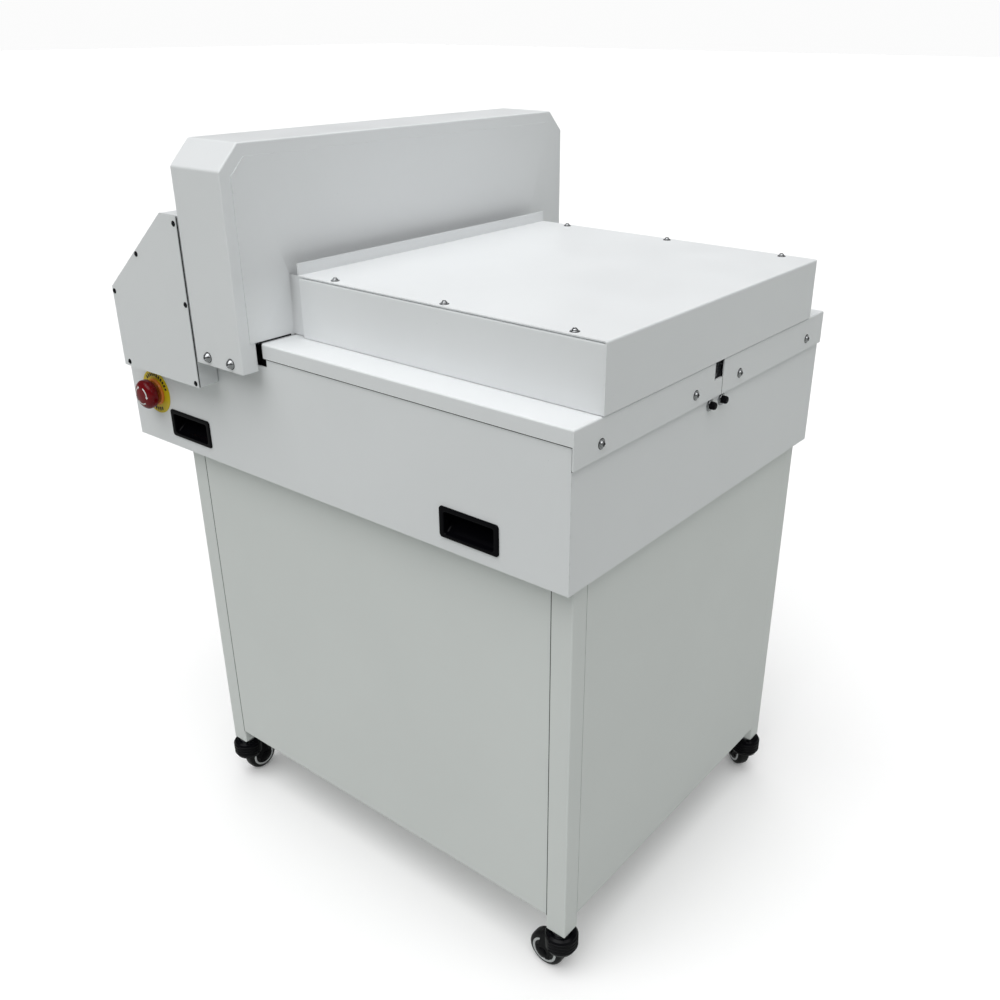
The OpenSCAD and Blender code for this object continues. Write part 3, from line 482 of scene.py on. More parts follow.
for name in ("press_frame", "knife_bar", "pull_rod", "clamp_bar"):
    keep(name, BLACK_STEEL)
for name in ("caster_stems", "drive_crank", "clamp_screw", "leadscrew", "gauge_rails", "stop_stem",
             "knife_bolts", "backgauge"):
    keep(name, STEEL, 0.25)
for name in ("gearmotor", "clamp_motor", "gauge_motor"):
    keep(name, MOTOR_PAINT, 0.8)
keep("bed", GROUND_TOP, 0.6)
keep("knife", BLADE, 0.1)
keep("cutting_stick", STICK_RED, 0.4)
keep("drive_belts", BELT, 0.2)
keep("guard", CLEAR, 0.4)
keep("stop_switch", YELLOW, 0.3)
keep("power_inlet", MATT_BLACK_AND_SHADE, 0.4)
keep("main_switch", ROCKER_RED, 0.3)
keep("control_panel", PANEL_DARK, 0.6)
for corner in CORNERS:
    keep("caster_fork_" + corner, CASTER_BLACK, 0.5)
    if corner.startswith("front"):
        keep("caster_pedal_" + corner, CASTER_BLACK, 0.5)


# ---------------------------------------------------------------- helpers for small parts, in mm

def box_mm(node):
    """The lowest and highest corner of a CAD node, in mm."""
    lo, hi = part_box(node)
    return Vector(lo) / MM, Vector(hi) / MM


def piece(name, bm, material, node, replaces=(), sharp=32.0, matrix=None):
    """Finishes a bmesh drawn in mm as a piece on the body of a CAD node."""
    bmesh.ops.remove_doubles(bm, verts=bm.verts, dist=0.001)
    bmesh.ops.recalc_face_normals(bm, faces=bm.faces)
    if matrix is not None:
        bmesh.ops.transform(bm, matrix=matrix, verts=bm.verts)
    bmesh.ops.scale(bm, vec=(MM, MM, MM), verts=bm.verts)
    return finish_mesh(name, bm, material, body_of_node[node], replaces, sharp)


def rounded_loop(bm, x, y, z, radius, steps=5):
    """A rounded rectangle of vertices in the plane at x, over the spans y and z."""
    made = []
    corners = ((y[1], z[1], -1, -1), (y[0], z[1], 1, -1), (y[0], z[0], 1, 1), (y[1], z[0], -1, 1))
    for quarter, (cy, cz, sy, sz) in enumerate(corners):
        for i in range(steps + 1):
            a = math.pi / 2 * (quarter + i / steps)
            made.append(bm.verts.new((x, cy + sy * radius + radius * math.cos(a),
                                      cz + sz * radius + radius * math.sin(a))))
    return made


def skin(bm, loops):
    """A closed surface through a row of loops."""
    for a, b in zip(loops, loops[1:]):
        for i in range(len(a)):
            j = (i + 1) % len(a)
            bm.faces.new([a[i], a[j], b[j], b[i]])
    bm.faces.new(loops[0])
    bm.faces.new(loops[-1])


def add_arc(bm, section, start, end, steps):
    """Sweeps a section of (radius, height) points about the Z axis, between angles in degrees."""
    loops = []
    for i in range(steps + 1):
        a = math.radians(start + (end - start) * i / steps)
        loops.append([bm.verts.new((r * math.cos(a), r * math.sin(a), z)) for r, z in section])
    skin(bm, loops)


# The left, low, right and high edge of each segment, as shares of the numeral's width and height
SEGMENTS = {
    "a": (0.12, 0.90, 0.88, 1.0), "g": (0.12, 0.45, 0.88, 0.55), "d": (0.12, 0.0, 0.88, 0.10),
    "f": (0.0, 0.53, 0.17, 0.97), "b": (0.83, 0.53, 1.0, 0.97),
    "e": (0.0, 0.03, 0.17, 0.47), "c": (0.83, 0.03, 1.0, 0.47),
}
DIGIT_PARTS = {
    "0": "abcdef", "1": "bc", "2": "abged", "3": "abgcd", "4": "fgbc", "5": "afgcd",
    "6": "afgedc", "7": "abc", "8": "abcdefg", "9": "abcfgd",
}


def add_digit(bm, digit, left, bottom, width, height, y, depth):
    """A seven-segment numeral that stands off the plane at y, towards the operator."""
    for part in DIGIT_PARTS[digit]:
        a0, b0, a1, b1 = SEGMENTS[part]
        add_box(bm, (left + a0 * width, y - depth, bottom + b0 * height),
                (left + a1 * width, y, bottom + b1 * height))


# ---------------------------------------------------------------- stop switch

def make_stop_switch():
    """Yellow ring with plain marks, collar, and a mushroom cap with its twist arrows."""
    lo, hi = box_mm("stop_switch")
    y, z = (lo.y + hi.y) / 2, (lo.z + hi.z) / 2
    face = box_mm("base_sides")[1].x
    ring_r = (hi.y - lo.y) / 2
    at = (face, y, z)
    bm = bmesh.new()
    add_lathe(bm, [(0.1, 10.9), (0.1, ring_r - 0.2), (0.4, ring_r + 0.05), (0.95, ring_r + 0.05),
                   (1.15, ring_r - 0.25), (1.15, 10.9), (0.1, 10.9)], at, "X", 96)
    piece("stop_ring", bm, YELLOW, "stop_switch")
    bm = bmesh.new()
    for start, count in ((18.0, 11), (246.0, 5)):
        for i in range(count):
            a = math.radians(start + 11.5 * i)
            along = Vector((0, math.cos(a), math.sin(a)))
            across = Vector((0, -math.sin(a), math.cos(a)))
            middle = Vector(at) + Vector((1.12, 0, 0)) + along * (ring_r - 5.6)
            h = 2.6 if i % 2 else 2.2
            corners = [(-1.6, -h), (1.6, -h), (1.6, h * 0.2), (0.6, h), (-1.6, h)]
            add_prism(bm, corners, middle, across, along, -0.12)
    piece("stop_ring_marks", bm, DARK_MARK, "stop_switch")
    bm = bmesh.new()
    step = [(1.1, 5.3), (1.1, 18.4), (2.6, 18.4), (4.7, 17.0), (4.7, 13.6), (3.1, 13.6), (3.1, 5.3),
            (1.1, 5.3)]
    add_lathe(bm, rounded(step, 0.5), at, "X", 72)
    piece("stop_collar", bm, COLLAR, "stop_switch")

    cap_lo, cap_hi = box_mm("stop_cap")
    tall, radius = cap_hi.x - cap_lo.x, (cap_hi.y - cap_lo.y) / 2
    # Shares of the cap's height and radius
    dome = [(0.0, 0.84), (0.04, 0.93), (0.11, 0.985), (0.20, 1.0), (0.46, 1.0), (0.58, 0.985),
            (0.69, 0.93), (0.79, 0.84), (0.87, 0.71), (0.93, 0.54), (0.97, 0.34), (0.99, 0.16),
            (1.0, 0.0)]
    bm = bmesh.new()
    hollow = [(4.0, 0.0), (4.0, 5.3), (0.0, 5.3)]
    outside = [(a * tall, r * radius) for a, r in dome]
    add_lathe(bm, hollow + outside, (cap_lo.x, y, z), "X", 96)
    piece("stop_mushroom", bm, RED_CAP, "stop_cap", ["stop_cap"], sharp=40)

    def height(r):
        """How high the dome is at a distance from its axis."""
        share = r / radius
        for (h1, r1), (h0, r0) in zip(dome[::-1], dome[-2::-1]):
            if r1 <= share <= r0:
                return (h1 + (h0 - h1) * (share - r1) / (r0 - r1)) * tall
        return tall

    bm = bmesh.new()
    for turn in range(3):
        spans = [(a, 11.0, 12.6) for a in range(84, 17, -6)]
        spans += [(17, 9.6, 14.0), (12, 10.4, 13.2), (7, 11.1, 12.5), (2, 11.7, 11.9)]
        loops = []
        for angle, r0, r1 in spans:
            a = math.radians(120 * turn + angle - 18)
            loop = []
            for r, lift in ((r0, -0.3), (r1, -0.3), (r1, 0.14), (r0, 0.14)):
                x = cap_lo.x + height(r) + lift
                loop.append(bm.verts.new((x, y + r * math.cos(a), z + r * math.sin(a))))
            loops.append(loop)
        skin(bm, loops)
    piece("stop_arrows", bm, WHITE_MARK, "stop_cap")


# ---------------------------------------------------------------- screws

def add_pan_screw(bright, dark, centre, axis, flange_d, dome_d, tall):
    """A pan head on its flange, with a cross recess drawn as dark bars of painted shade, and a thin dark
    ring of painted shadow round its foot.
    """
    r, f = dome_d / 2, flange_d / 2
    # A thin dark ring of painted shadow round the head's foot
    shadow_ring = [(0, 0), (0, f + 0.55), (0.2, f + 0.55), (0.3, f + 0.3), (0.3, 0)]
    add_lathe(dark, shadow_ring, centre, axis, 40)
    head = [(0, 0), (0, f - 0.15), (0.25, f), (0.6, f), (0.85, f - 0.3), (0.9, r + 0.1), (1.0, r),
            (tall * 0.55, r * 0.96), (tall * 0.78, r * 0.80), (tall * 0.93, r * 0.52),
            (tall, r * 0.2), (tall, 0)]
    add_lathe(bright, head, centre, axis, 40)
    along, side, other = directions(axis)
    # The cross recess: dark bars of painted shade, standing just proud of the dome
    for u, v in ((side, other), (other, -side)):
        half, thin = r * 0.62, r * 0.19
        add_prism(dark, [(-half, -thin), (half, -thin), (half, thin), (-half, thin)],
                  Vector(centre) + along * (tall - 0.55), u, v, 0.6)


def add_socket_screw(bright, dark, centre, axis, d, tall):
    """A button head with a hexagon socket, and a thin dark ring of painted shadow round its foot."""
    r = d / 2
    socket = r * 0.40
    # A thin dark ring of painted shadow round the head's foot
    shadow_ring = [(0, 0), (0, r + 0.6), (0.2, r + 0.6), (0.3, r + 0.35), (0.3, 0)]
    add_lathe(dark, shadow_ring, centre, axis, 48)
    head = [(0, 0), (0, r - 0.3), (0.4, r), (0.9, r), (tall * 0.45, r * 0.93), (tall * 0.75, r * 0.74),
            (tall, r * 0.46), (tall - 0.15, socket), (tall - 1.6, socket), (tall - 1.6, 0)]
    add_lathe(bright, head, centre, axis, 48)
    along, side, other = directions(axis)
    hexagon = regular(6, socket)
    add_prism(dark, hexagon, Vector(centre) + along * (tall - 1.7), side, other, -0.2)


def make_screws():
    """Pan screws on the cover and table flange, cap screws on the head, black ones on the consoles."""
    bright, dark = bmesh.new(), bmesh.new()
    cover = box_mm("rear_cover")[1]
    table = box_mm("rear_table_right")[1]
    head_lo, head_hi = box_mm("head_shell")
    top = box_mm("cover_sides")[1].z + SHEET
    for side in (-1, 1):
        for y in COVER_SCREW_YS:
            add_pan_screw(bright, dark, (side * (cover.x - 10), y, top), "Z", 9.6, 6.8, 3.4)
        for x in FLANGE_SCREW_XS:
            add_pan_screw(bright, dark, (side * x, table.y, table.z - 28), "Y", 10.8, 7.4, 3.2)
        outwards = "X" if side > 0 else "-X"
        for y in HEAD_SCREW_YS:
            at = (side * head_hi.x, y, head_lo.z + 10)
            add_socket_screw(bright, dark, at, outwards, 12.2, 5.2)
    piece("cap_screws", bright, CHROME, "panel_screws", ["panel_screws"])
    # Dark rings and cross-recess bars of painted shade on the bright screws
    piece("cap_screw_painted_shade", dark, DARK_SCREW_AND_SHADE, "panel_screws")
    heads, recesses = bmesh.new(), bmesh.new()
    for x, y, z in screw_spots(nodes["console_screws"].data):
        add_pan_screw(heads, recesses, (x, y, z), "X" if x > 0 else "-X", 5.8, 4.6, 1.55)
    piece("console_screw_heads", heads, DARK_SCREW_AND_SHADE, "console_screws", ["console_screws"])
    # Dark rings and cross-recess bars of painted shade on the black screws
    piece("console_screw_painted_shade", recesses, MATT_BLACK_AND_SHADE, "console_screws")


def screw_spots(mesh):
    """The foot of every separate head in a mesh of screws on the two consoles, in mm."""
    bm = bmesh.new()
    bm.from_mesh(mesh)
    bmesh.ops.remove_doubles(bm, verts=bm.verts, dist=0.001 * MM)
    left = set(bm.verts)
    spots = []
    while left:
        group, queue = [], [left.pop()]
        while queue:
            v = queue.pop()
            group.append(v.co / MM)
            for e in v.link_edges:
                w = e.other_vert(v)
                if w in left:
                    left.discard(w)
                    queue.append(w)
        y = (min(p.y for p in group) + max(p.y for p in group)) / 2
        z = (min(p.z for p in group) + max(p.z for p in group)) / 2
        side = 1 if group[0].x > 0 else -1
        spots.append((side * min(abs(p.x) for p in group), y, z))
    bm.free()
    return sorted(spots)


# ---------------------------------------------------------------- recessed handles

def make_handles():
    """Four finger recesses: a rounded frame round a pocket with a sloped floor."""
    lo, hi = box_mm("recess_handles")
    face = box_mm("base_sides")[1].x
    half_h = (hi.z - lo.z) / 2
    z = (lo.z + hi.z) / 2
    half_w = HANDLE_W / 2
    bm = bmesh.new()
    for y in (lo.y + half_w, hi.y - half_w):
        for side in (-1, 1):
            # Depth, half width, low and high edge, and corner radius of each loop
            rows = [
                (-24, half_w - 4.3, -half_h + 4.3, half_h - 4.3, 2.5),
                (-0.02, half_w - 4.3, -half_h + 4.3, half_h - 4.3, 2.5),
                (-0.02, half_w, -half_h, half_h, 4.0),
                (1.2, half_w, -half_h, half_h, 4.0),
                (1.75, half_w - 0.3, -half_h + 0.3, half_h - 0.3, 3.8),
                (2.0, half_w - 0.9, -half_h + 0.9, half_h - 0.9, 3.4),
                (2.0, half_w - 5.6, -half_h + 4.2, half_h - 4.8, 3.6),
                (1.7, half_w - 6.3, -half_h + 4.7, half_h - 5.5, 3.3),
                (1.0, half_w - 6.8, -half_h + 5.0, half_h - 5.9, 3.0),
                (-1.5, half_w - 7.0, -half_h + 5.3, half_h - 6.0, 3.0),
                (-4.0, half_w - 7.0, -half_h + 6.7, half_h - 6.0, 3.0),
                (-12.0, half_w - 7.3, -half_h + 13.3, half_h - 6.3, 2.8),
                (-20.0, half_w - 7.8, -half_h + 19.6, half_h - 6.8, 2.4),
                (-21.6, half_w - 9.4, -half_h + 21.6, half_h - 8.2, 1.6),
            ]
            loops = [rounded_loop(bm, side * (face + x), (y - w, y + w), (z + z0, z + z1), r)
                     for x, w, z0, z1, r in rows]
            skin(bm, loops)
    piece("handle_cups", bm, GLOSS_BLACK, "recess_handles", ["recess_handles"], sharp=40)


# ---------------------------------------------------------------- fuse holders

CAP_RIBS = 18


def make_fuses():
    """Silver nuts, black bodies, and ribbed caps with a coin slot."""
    lo, hi = box_mm("fuse_holders")
    face = box_mm("base_rear")[1].y
    z = (lo.z + hi.z) / 2
    nuts, bodies = bmesh.new(), bmesh.new()
    for cap in ("fuse_cap_right", "fuse_cap_left"):
        c_lo, c_hi = box_mm(cap)
        x = (c_lo.x + c_hi.x) / 2
        at = (x, face, z)
        add_prism(nuts, regular(6, 7.9, 0.4), at, (0, 0, 1), (1, 0, 0), 1.7)
        collar = [(1.7, 4.1), (1.7, 6.0), (2.1, 6.1), (2.45, 5.8), (2.45, 4.1), (1.7, 4.1)]
        add_lathe(nuts, collar, at, "Y", 48)
        sleeve = [(-32, 4.1), (-32, 6.2), (-31.4, 6.8), (-4.2, 6.8), (-4.0, 6.0), (0.0, 6.0), (0.0, 4.1)]
        add_lathe(bodies, sleeve, at, "Y", 40)
        bm = bmesh.new()
        start = face + 2.5
        loops = []
        for y, grow in ((start, 0.0), (start + 0.3, 0.35), (c_hi.y - 1.9, 0.35), (c_hi.y - 1.5, 0.0)):
            loop = []
            for i in range(CAP_RIBS * 4):
                r = 4.35 + (grow if i % 4 in (0, 1) else 0.0)
                a = 2 * math.pi * i / (CAP_RIBS * 4)
                loop.append(bm.verts.new((x + r * math.cos(a), y, z + r * math.sin(a))))
            loops.append(loop)
        skin(bm, loops)
        face_disc = [(0, 0), (0, 4.3), (0.7, 4.3), (1.2, 3.9), (1.55, 3.2), (1.55, 0)]
        add_lathe(bm, face_disc, (x, c_hi.y - 1.6, z), "Y", 40)
        shaft = [(0, 0), (0, 3.9), (26.0, 3.9), (26.0, 0)]
        add_lathe(bm, shaft, (x, start - 25.9, z), "Y", 32)
        piece(cap + "_body", bm, MATT_BLACK_AND_SHADE, cap, [cap])
        bm = bmesh.new()
        add_box(bm, (x - 3.0, c_hi.y - 0.9, z - 0.45), (x + 3.0, c_hi.y - 0.06, z + 0.45), 0.1)
        piece(cap + "_slot", bm, DARK_SCREW_AND_SHADE, cap)
    piece("fuse_nuts", nuts, CHROME, "fuse_holders")
    piece("fuse_bodies", bodies, MATT_BLACK_AND_SHADE, "fuse_holders", ["fuse_holders"])


# ---------------------------------------------------------------- casters

def joint_at(name):
    """The place of a joint, in mm."""
    joint = next(j for j in behaviour["joints"] if j["name"] == name)
    return Vector(joint["pos_m"]) / MM


def caster_place(corner):
    """The matrix from a caster's own frame, whose wheel trails along +X, to the machine's, and the
    trail. Both are in mm."""
    swivel = joint_at("swivel_" + corner)
    axle = joint_at("roll_" + corner)
    turn = math.atan2(axle.y - swivel.y, axle.x - swivel.x)
    matrix = Matrix.Translation((swivel.x, swivel.y, 0)) @ Matrix.Rotation(turn, 4, "Z")
    return matrix, (axle - swivel).xy.length


# The foot of each rib round a caster's housing, in mm
RIB_HEIGHTS = (44.0, 49.0, 54.0, 59.0)


def make_caster(corner):
    """A hooded caster: ribbed housing, rounded wheel, silver hub rings and axle caps."""
    matrix, trail = caster_place(corner)
    fork, wheel = "caster_fork_" + corner, "caster_wheel_" + corner
    w_lo, w_hi = box_mm(wheel)
    r = (w_hi.z - w_lo.z) / 2
    half = WHEEL_W / 2
    at = (trail, 0, r)
    side = [(half, 4.1), (half, 7.1), (half - 0.3, 7.5), (half - 1.5, 7.7), (half - 1.7, 12.6),
            (half - 0.6, 14.6), (half - 0.4, 15.4), (half - 0.4, 18.4), (half - 0.7, 19.2),
            (half - 0.9, 21.0), (half - 1.5, r - 2.4), (half - 2.7, r - 1.15), (half - 4.4, r - 0.35),
            (half - 6.6, r)]
    tyre = [(-a, b) for a, b in side] + [(a, b) for a, b in reversed(side)] + [(-half, 4.1)]
    bm = bmesh.new()
    add_lathe(bm, tyre, at, "Y", 96)
    piece(wheel + "_tyre", bm, TREAD, wheel, [wheel], sharp=44, matrix=matrix)

    ring = [(half - 0.45, 15.0), (half, 15.3), (half + 0.25, 16.0), (half + 0.25, 17.4),
            (half, 18.2), (half - 0.45, 18.5), (half - 0.45, 15.0)]
    bm = bmesh.new()
    for way in ("Y", "-Y"):
        add_lathe(bm, ring, at, way, 96)
    piece(wheel + "_ring", bm, SILVER_RING, wheel, matrix=matrix)

    spoke = [(7.6, -1.1), (12.4, -0.7), (12.4, 0.7), (7.6, 1.1)]
    bm = bmesh.new()
    for way in (1, -1):
        hub = Vector(at) + Vector((0, way * (half - 1.75), 0))
        for i in range(6):
            a = 2 * math.pi * i / 6
            u = Vector((math.cos(a), 0, math.sin(a)))
            v = Vector((-math.sin(a), 0, math.cos(a)))
            add_prism(bm, spoke, hub, u, v, 0.9 * -way)
    piece(wheel + "_spokes", bm, CASTER_BLACK, wheel, matrix=matrix)

    bm = bmesh.new()
    for z in RIB_HEIGHTS:
        section = [(21.0, z), (21.75, z + 0.1), (22.2, z + 0.7), (22.2, z + 1.3), (21.75, z + 1.9),
                   (21.0, z + 2.0)]
        add_arc(bm, section, 78, 282, 40)
    piece(fork + "_ribs", bm, CASTER_BLACK, fork, sharp=50, matrix=matrix)

    axle_cap = [(14.1, 0), (14.1, 6.6), (14.6, 6.8), (15.2, 6.4), (15.7, 5.0), (15.9, 2.6), (16.0, 0)]
    bm = bmesh.new()
    for way in ("Y", "-Y"):
        add_lathe(bm, axle_cap, at, way, 40)
    piece(fork + "_axle_caps", bm, CASTER_BLACK, fork, sharp=40, matrix=matrix)


def make_pedal_grip(corner):
    """Four ridges across the top of a brake pedal."""
    matrix = caster_place(corner)[0]
    pedal = "caster_pedal_" + corner
    pivot = joint_at("brake_" + corner)
    reach = (matrix.inverted() @ pivot).x
    ridge = [(-0.8, 0), (0.8, 0), (0.45, 0.75), (-0.45, 0.75)]
    bm = bmesh.new()
    for i in range(4):
        x = reach + 7 + 3.6 * i
        add_prism(bm, ridge, (x, 9.0, pivot.z + 1.95), (1, 0, 0), (0, 0, 1), 18.0)
    piece(pedal + "_grip", bm, MATT_BLACK_AND_SHADE, pedal, matrix=matrix)


# ---------------------------------------------------------------- operator's side

def make_display():
    """The display's window and digits, the keys, and the rim of the control panel."""
    lo, hi = box_mm("control_panel")
    front = lo.y
    bm = bmesh.new()
    add_box(bm, (-101, front + 0.7, 908), (-17, front + 1.4, 952), 0.6)
    piece("display_window", bm, SCREEN, "control_panel")
    bm = bmesh.new()
    for i, digit in enumerate("4600"):
        add_digit(bm, digit, -94 + DIGIT_PITCH * i, 918, 12.5, 23, front + 0.72, 0.1)
    add_box(bm, (-59.6, front + 0.62, 916), (-57.4, front + 0.72, 918.2))
    piece("display_digits", bm, DIGITS, "control_panel")
    keys, numerals, arrows = bmesh.new(), bmesh.new(), bmesh.new()
    for row, line in enumerate(KEY_ROWS):
        for column, label in enumerate(line):
            x0 = KEYS_LEFT + KEY_PITCH_X * column
            z0 = KEYS_LOW + KEY_PITCH_Z * (2 - row)
            low, high = (x0 + 0.8, front - 0.7, z0 + 0.8), (x0 + 19.2, front + 0.2, z0 + 15.2)
            add_box(keys, low, high, 0.55)
            if label in DIGIT_PARTS:
                add_digit(numerals, label, x0 + 7.4, z0 + 3.6, 5.2, 8.8, front - 0.68, 0.1)
            else:
                tip = 1 if label == "up" else -1
                add_prism(arrows, [(-4, -3 * tip), (4, -3 * tip), (0, 4 * tip)][::tip],
                          (x0 + 10, front - 0.66, z0 + 8), (1, 0, 0), (0, 0, 1), 0.12)
    piece("key_caps", keys, KEY_GREY, "control_panel")
    piece("key_numerals", numerals, WHITE_MARK, "control_panel")
    piece("key_arrows", arrows, KEY_BLUE, "control_panel")
    rim = bmesh.new()
    for a, b in (((lo.x, lo.z), (hi.x, lo.z)), ((lo.x, hi.z), (hi.x, hi.z)),
                 ((lo.x, lo.z), (lo.x, hi.z)), ((hi.x, lo.z), (hi.x, hi.z))):
        low, high = (a[0] - 1.2, front + 1.4, a[1] - 1.2), (b[0] + 1.2, front + 7, b[1] + 1.2)
        add_box(rim, low, high, 0.9)
    piece("panel_rim", rim, MATT_BLACK_AND_SHADE, "control_panel")


def make_cut_buttons():
    """Two green buttons in bright bezels, on the front panel."""
    face = box_mm("base_tray")[0].y
    for name in ("cut_button_right", "cut_button_left"):
        b_lo, b_hi = box_mm(name)
        x, z = (b_lo.x + b_hi.x) / 2, (b_lo.z + b_hi.z) / 2
        at = (x, face, z)
        tall = face - b_lo.y
        bezel = [(0.0, 11.3), (0.0, 15.5), (1.8, 15.5), (2.9, 13.6), (2.9, 11.3), (0.0, 11.3)]
        bm = bmesh.new()
        add_lathe(bm, rounded(bezel, 0.7), at, "-Y", 72)
        piece(name + "_bezel", bm, CHROME, "base_tray")
        cap = [(-24, 0), (-24, 10.9), (-2.0, 10.9), (-2.0, 10.1), (tall - 1.4, 10.1),
               (tall - 0.6, 8.6), (tall, 4.0), (tall, 0)]
        bm = bmesh.new()
        add_lathe(bm, rounded(cap, 0.8), at, "-Y", 72)
        piece(name + "_cap", bm, GREEN, name, [name])


def make_guard_clamps():
    """Three clamps on the guard's hinge line, with two screws each."""
    hinge = joint_at("guard_hinge")
    y, z = hinge.y, hinge.z
    clamps, screws, dark = bmesh.new(), bmesh.new(), bmesh.new()
    for x in GUARD_CLAMP_XS:
        add_box(clamps, (x - 16, y - 9.2, z - 8.6), (x + 16, y + 8.2, z + 8.2), 1.6, 3)
        for dx in (-9, 9):
            add_socket_screw(screws, dark, (x + dx, y - 9.1, z), "-Y", 6.5, 3.0)
    piece("guard_clamps", clamps, STEEL, "guard")
    piece("guard_clamp_screws", screws, CHROME, "guard")
    # The sockets' dark floors, and dark rings of painted shadow round the screws' feet
    piece("guard_clamp_painted_shade", dark, DARK_SCREW_AND_SHADE, "guard")


def make_door_knob():
    """A turned knob over the CAD door's own pull."""
    knob_x, knob_z = DOOR_PULL
    knob = [(0, 0), (0, 9.5), (1.4, 9.5), (3.0, 6.6), (8.4, 6.6), (10.6, 12.4), (14.2, 12.4),
            (15.6, 9.6), (KNOB_REACH, 0)]
    bm = bmesh.new()
    door_face = box_mm("cabinet_door")[0].y + KNOB_REACH
    add_lathe(bm, rounded(knob, 1.6), (knob_x, door_face, knob_z), "-Y", 72)
    piece("door_knob", bm, CHROME, "cabinet_door")


def make_inlet():
    """Three blades in the mains inlet, and the screws of its plate."""
    lo, hi = box_mm("power_inlet")
    face = box_mm("base_sides")[0].x
    y, z = (lo.y + hi.y) / 2, (lo.z + hi.z) / 2
    bm = bmesh.new()
    for dy, dz in ((0, -12.6), (-7, -18.2), (7, -18.2)):
        low = (face + 1.5, y + dy - 1.0, z + dz - 2.2)
        add_box(bm, low, (face + 16.2, y + dy + 1.0, z + dz + 2.2), 0.6)
    piece("inlet_blades", bm, BRASS, "power_inlet")
    screws, dark = bmesh.new(), bmesh.new()
    for dy in (-25.2, 25.2):
        add_pan_screw(screws, dark, (lo.x, y + dy, z), "-X", 5.4, 4.4, 1.4)
    piece("inlet_screws", screws, DARK_SCREW_AND_SHADE, "power_inlet")
    # Dark rings and cross-recess bars of painted shade on the inlet's screws
    piece("inlet_screw_painted_shade", dark, MATT_BLACK_AND_SHADE, "power_inlet")


# ---------------------------------------------------------------- gaps, and painted shadows in the seams

def trim(piece_obj, axis, limit, shift, above=True):
    """Moves a folded piece's vertices beyond a limit on an axis, to open a gap. Both are in mm."""
    for v in piece_obj.data.vertices:
        if (v.co[axis] / MM > limit) == above:
            v.co[axis] += shift * MM


def make_seams():
    """Opens the sheet metal's gaps, and lays dark strips of painted shadow where sheets meet."""
    sides_lo, sides_hi = box_mm("cover_sides")
    for table in ("rear_table_right", "rear_table_left"):
        front = box_mm(table)[0].y
        trim(folded[table], 1, front + 1, -FLANGE_REACH, above=False)
    trim(folded["cover_sides"], 2, sides_hi.z - 4, -SIDE_TOP_GAP)
    trim(folded["cover_sides"], 2, sides_lo.z + 4, SIDE_FOOT_GAP, above=False)
    trim(folded["rear_cover"], 2, box_mm("rear_cover")[0].z + 4, REAR_FOOT_GAP, above=False)
    table_lo, table_hi = box_mm("rear_table_right")
    base_x, rear = box_mm("base_sides")[1].x, box_mm("base_rear")[1].y
    head_lo, head_hi = box_mm("head_shell")
    plate_lo, plate_hi = box_mm("console_plates")
    panel_lo, panel_hi = box_mm("cabinet_sides")
    panel = head_hi.y + PANEL_SHEET
    step = table_lo.y + 4
    for v in folded["base_sides"].data.vertices:
        if abs(v.co.y / MM - step) < 0.5:
            v.co.y -= STEP_REACH * MM
    bm = bmesh.new()
    for side in (-1, 1):
        # painted shadow under the rear table's side flange
        x = side * base_x
        low = (x - 0.12, table_lo.y, SIDE_FLANGE_Z - 1.5)
        add_box(bm, low, (x + 0.12, table_hi.y - 2.5, SIDE_FLANGE_Z + 0.3))
        # painted shadow between the console's plate and the head
        x = side * (plate_hi.x - 0.6)
        low = (x - 0.4, head_lo.y - 0.9, plate_lo.z + 1.2)
        add_box(bm, low, (x + 0.4, head_lo.y - 0.1, plate_hi.z - 1.2))
        # painted shadow between the cabinet's side panel and its legs
        x0, x1 = sorted((side * (panel_hi.x - 0.8), side * (panel_hi.x + 0.08)))
        for y in (panel_lo.y - LEG_SEAM, panel_hi.y):
            add_box(bm, (x0, y - 0.1, panel_lo.z + 1), (x1, y + LEG_SEAM + 0.1, panel_hi.z - 0.5))
        # painted shadow at the foot of the head's rear panel, beside the cover
        x0, x1 = sorted((side * (sides_hi.x + 0.2), side * OPENING_HALF))
        add_box(bm, (x0, panel - 0.1, table_hi.z + 0.1), (x1, panel + 0.25, table_hi.z + 1.9))
    # painted shadow under the rear flange, and between its two halves
    low = (1.6 - table_hi.x, rear - 0.1, table_lo.z - 2.0)
    add_box(bm, low, (table_hi.x - 1.6, rear + 0.12, table_lo.z + 0.3))
    low = (FLANGE_SEAM - 0.4, table_hi.y - 1.2, table_lo.z + 0.2)
    add_box(bm, low, (FLANGE_SEAM + 0.4, table_hi.y + 0.05, NOTCH_Z))
    piece("painted_seam_shadows", bm, GAP, "base_sides")


make_seams()
make_stop_switch()
make_screws()
make_handles()
make_fuses()
for corner in CORNERS:
    make_caster(corner)
    if corner.startswith("front"):
        make_pedal_grip(corner)
make_display()
make_cut_buttons()
make_guard_clamps()
make_door_knob()
make_inlet()


# ---------------------------------------------------------------- stage

def make_floor():
    """A plain pale floor. The camera sees it as it is, and it throws back a darker colour."""
    bm = bmesh.new()
    bmesh.ops.create_grid(bm, x_segments=1, y_segments=1, size=40.0)
    mesh = bpy.data.meshes.new("floor")
    bm.to_mesh(mesh)
    bm.free()
    floor = bpy.data.objects.new("floor", mesh)
    scene.collection.objects.link(floor)
    finish = Finish("pale_floor", Specular_IOR_Level=0.1, Emission_Color=(1, 1, 1, 1),
                    Emission_Strength=FLOOR_GLOW)
    pale = finish.mix(finish.noise(0.6, 3.0), (0.91, 0.91, 0.91, 1), (0.94, 0.94, 0.94, 1))
    seen = finish.node("ShaderNodeLightPath").outputs["Is Camera Ray"]
    finish.drive("Base Color", finish.mix(seen, FLOOR_BOUNCE, pale))
    finish.rough(finish.noise(3.0, 3.0), 0.75, 0.9)
    mesh.materials.append(finish.material)


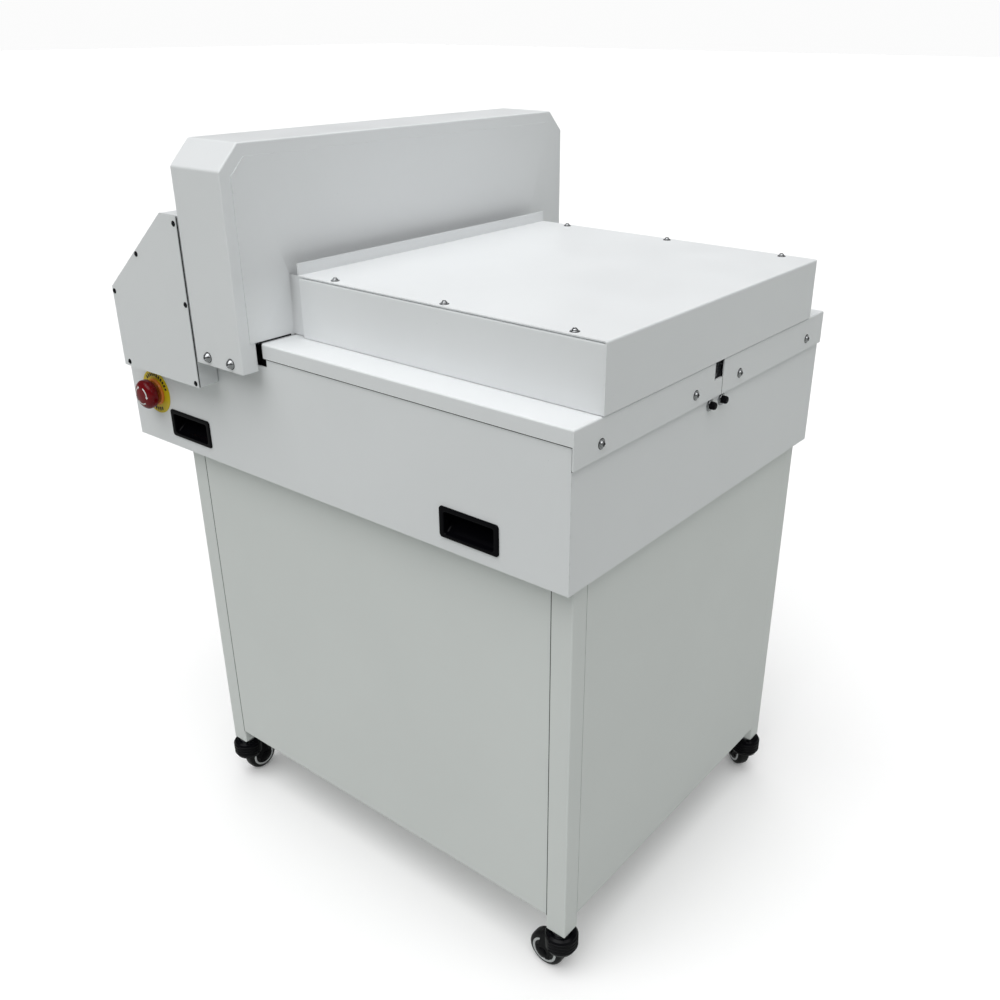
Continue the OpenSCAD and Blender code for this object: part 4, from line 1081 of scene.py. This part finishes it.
def make_sky():
    """An even studio sky that lights the object, behind a pale wall that only the camera sees."""
    world = bpy.data.worlds.new("studio")
    world.use_nodes = True
    scene.world = world
    tree = world.node_tree
    where = tree.nodes.new("ShaderNodeTexCoord")
    split = tree.nodes.new("ShaderNodeSeparateXYZ")
    ramp = tree.nodes.new("ShaderNodeValToRGB")
    tree.links.new(where.outputs["Generated"], split.inputs[0])
    tree.links.new(split.outputs["Z"], ramp.inputs["Fac"])
    ramp.color_ramp.elements[0].color = SKY_LOW
    ramp.color_ramp.elements[1].color = SKY_HIGH
    sky = tree.nodes["Background"]
    tree.links.new(ramp.outputs["Color"], sky.inputs["Color"])
    sky.inputs["Strength"].default_value = SKY_STRENGTH
    wall = tree.nodes.new("ShaderNodeBackground")
    seen = tree.nodes.new("ShaderNodeLightPath").outputs["Is Camera Ray"]
    both = tree.nodes.new("ShaderNodeMixShader")
    tree.links.new(seen, both.inputs[0])
    tree.links.new(sky.outputs[0], both.inputs[1])
    tree.links.new(wall.outputs[0], both.inputs[2])
    wall.inputs["Color"].default_value = (0.97, 0.97, 0.97, 1)
    tree.links.new(both.outputs[0], tree.nodes["World Output"].inputs["Surface"])


def make_lamps():
    """Wide, soft suns, each aimed from an azimuth and elevation."""
    for name, azimuth, elevation, strength, spread in LAMPS:
        lamp = bpy.data.lights.new(name, "SUN")
        lamp.energy = strength
        lamp.angle = math.radians(spread)
        obj = bpy.data.objects.new(name, lamp)
        scene.collection.objects.link(obj)
        a, e = math.radians(azimuth), math.radians(elevation)
        back = Vector((math.sin(a) * math.cos(e), -math.cos(a) * math.cos(e), math.sin(e)))
        obj.rotation_euler = back.to_track_quat("Z", "Y").to_euler()


def make_camera():
    """The photograph's viewing angle."""
    camera = bpy.data.cameras.new("camera")
    camera.lens = LENS
    camera.sensor_width = 36.0
    camera.shift_x, camera.shift_y = SHIFT
    camera.clip_start, camera.clip_end = 0.02, 200.0
    obj = bpy.data.objects.new("camera", camera)
    scene.collection.objects.link(obj)
    obj.location = CAMERA_AT
    obj.rotation_euler = Euler([math.radians(x) for x in CAMERA_TURN])
    scene.camera = obj


make_floor()
make_sky()
make_lamps()
make_camera()
scene.view_settings.view_transform = "Standard"
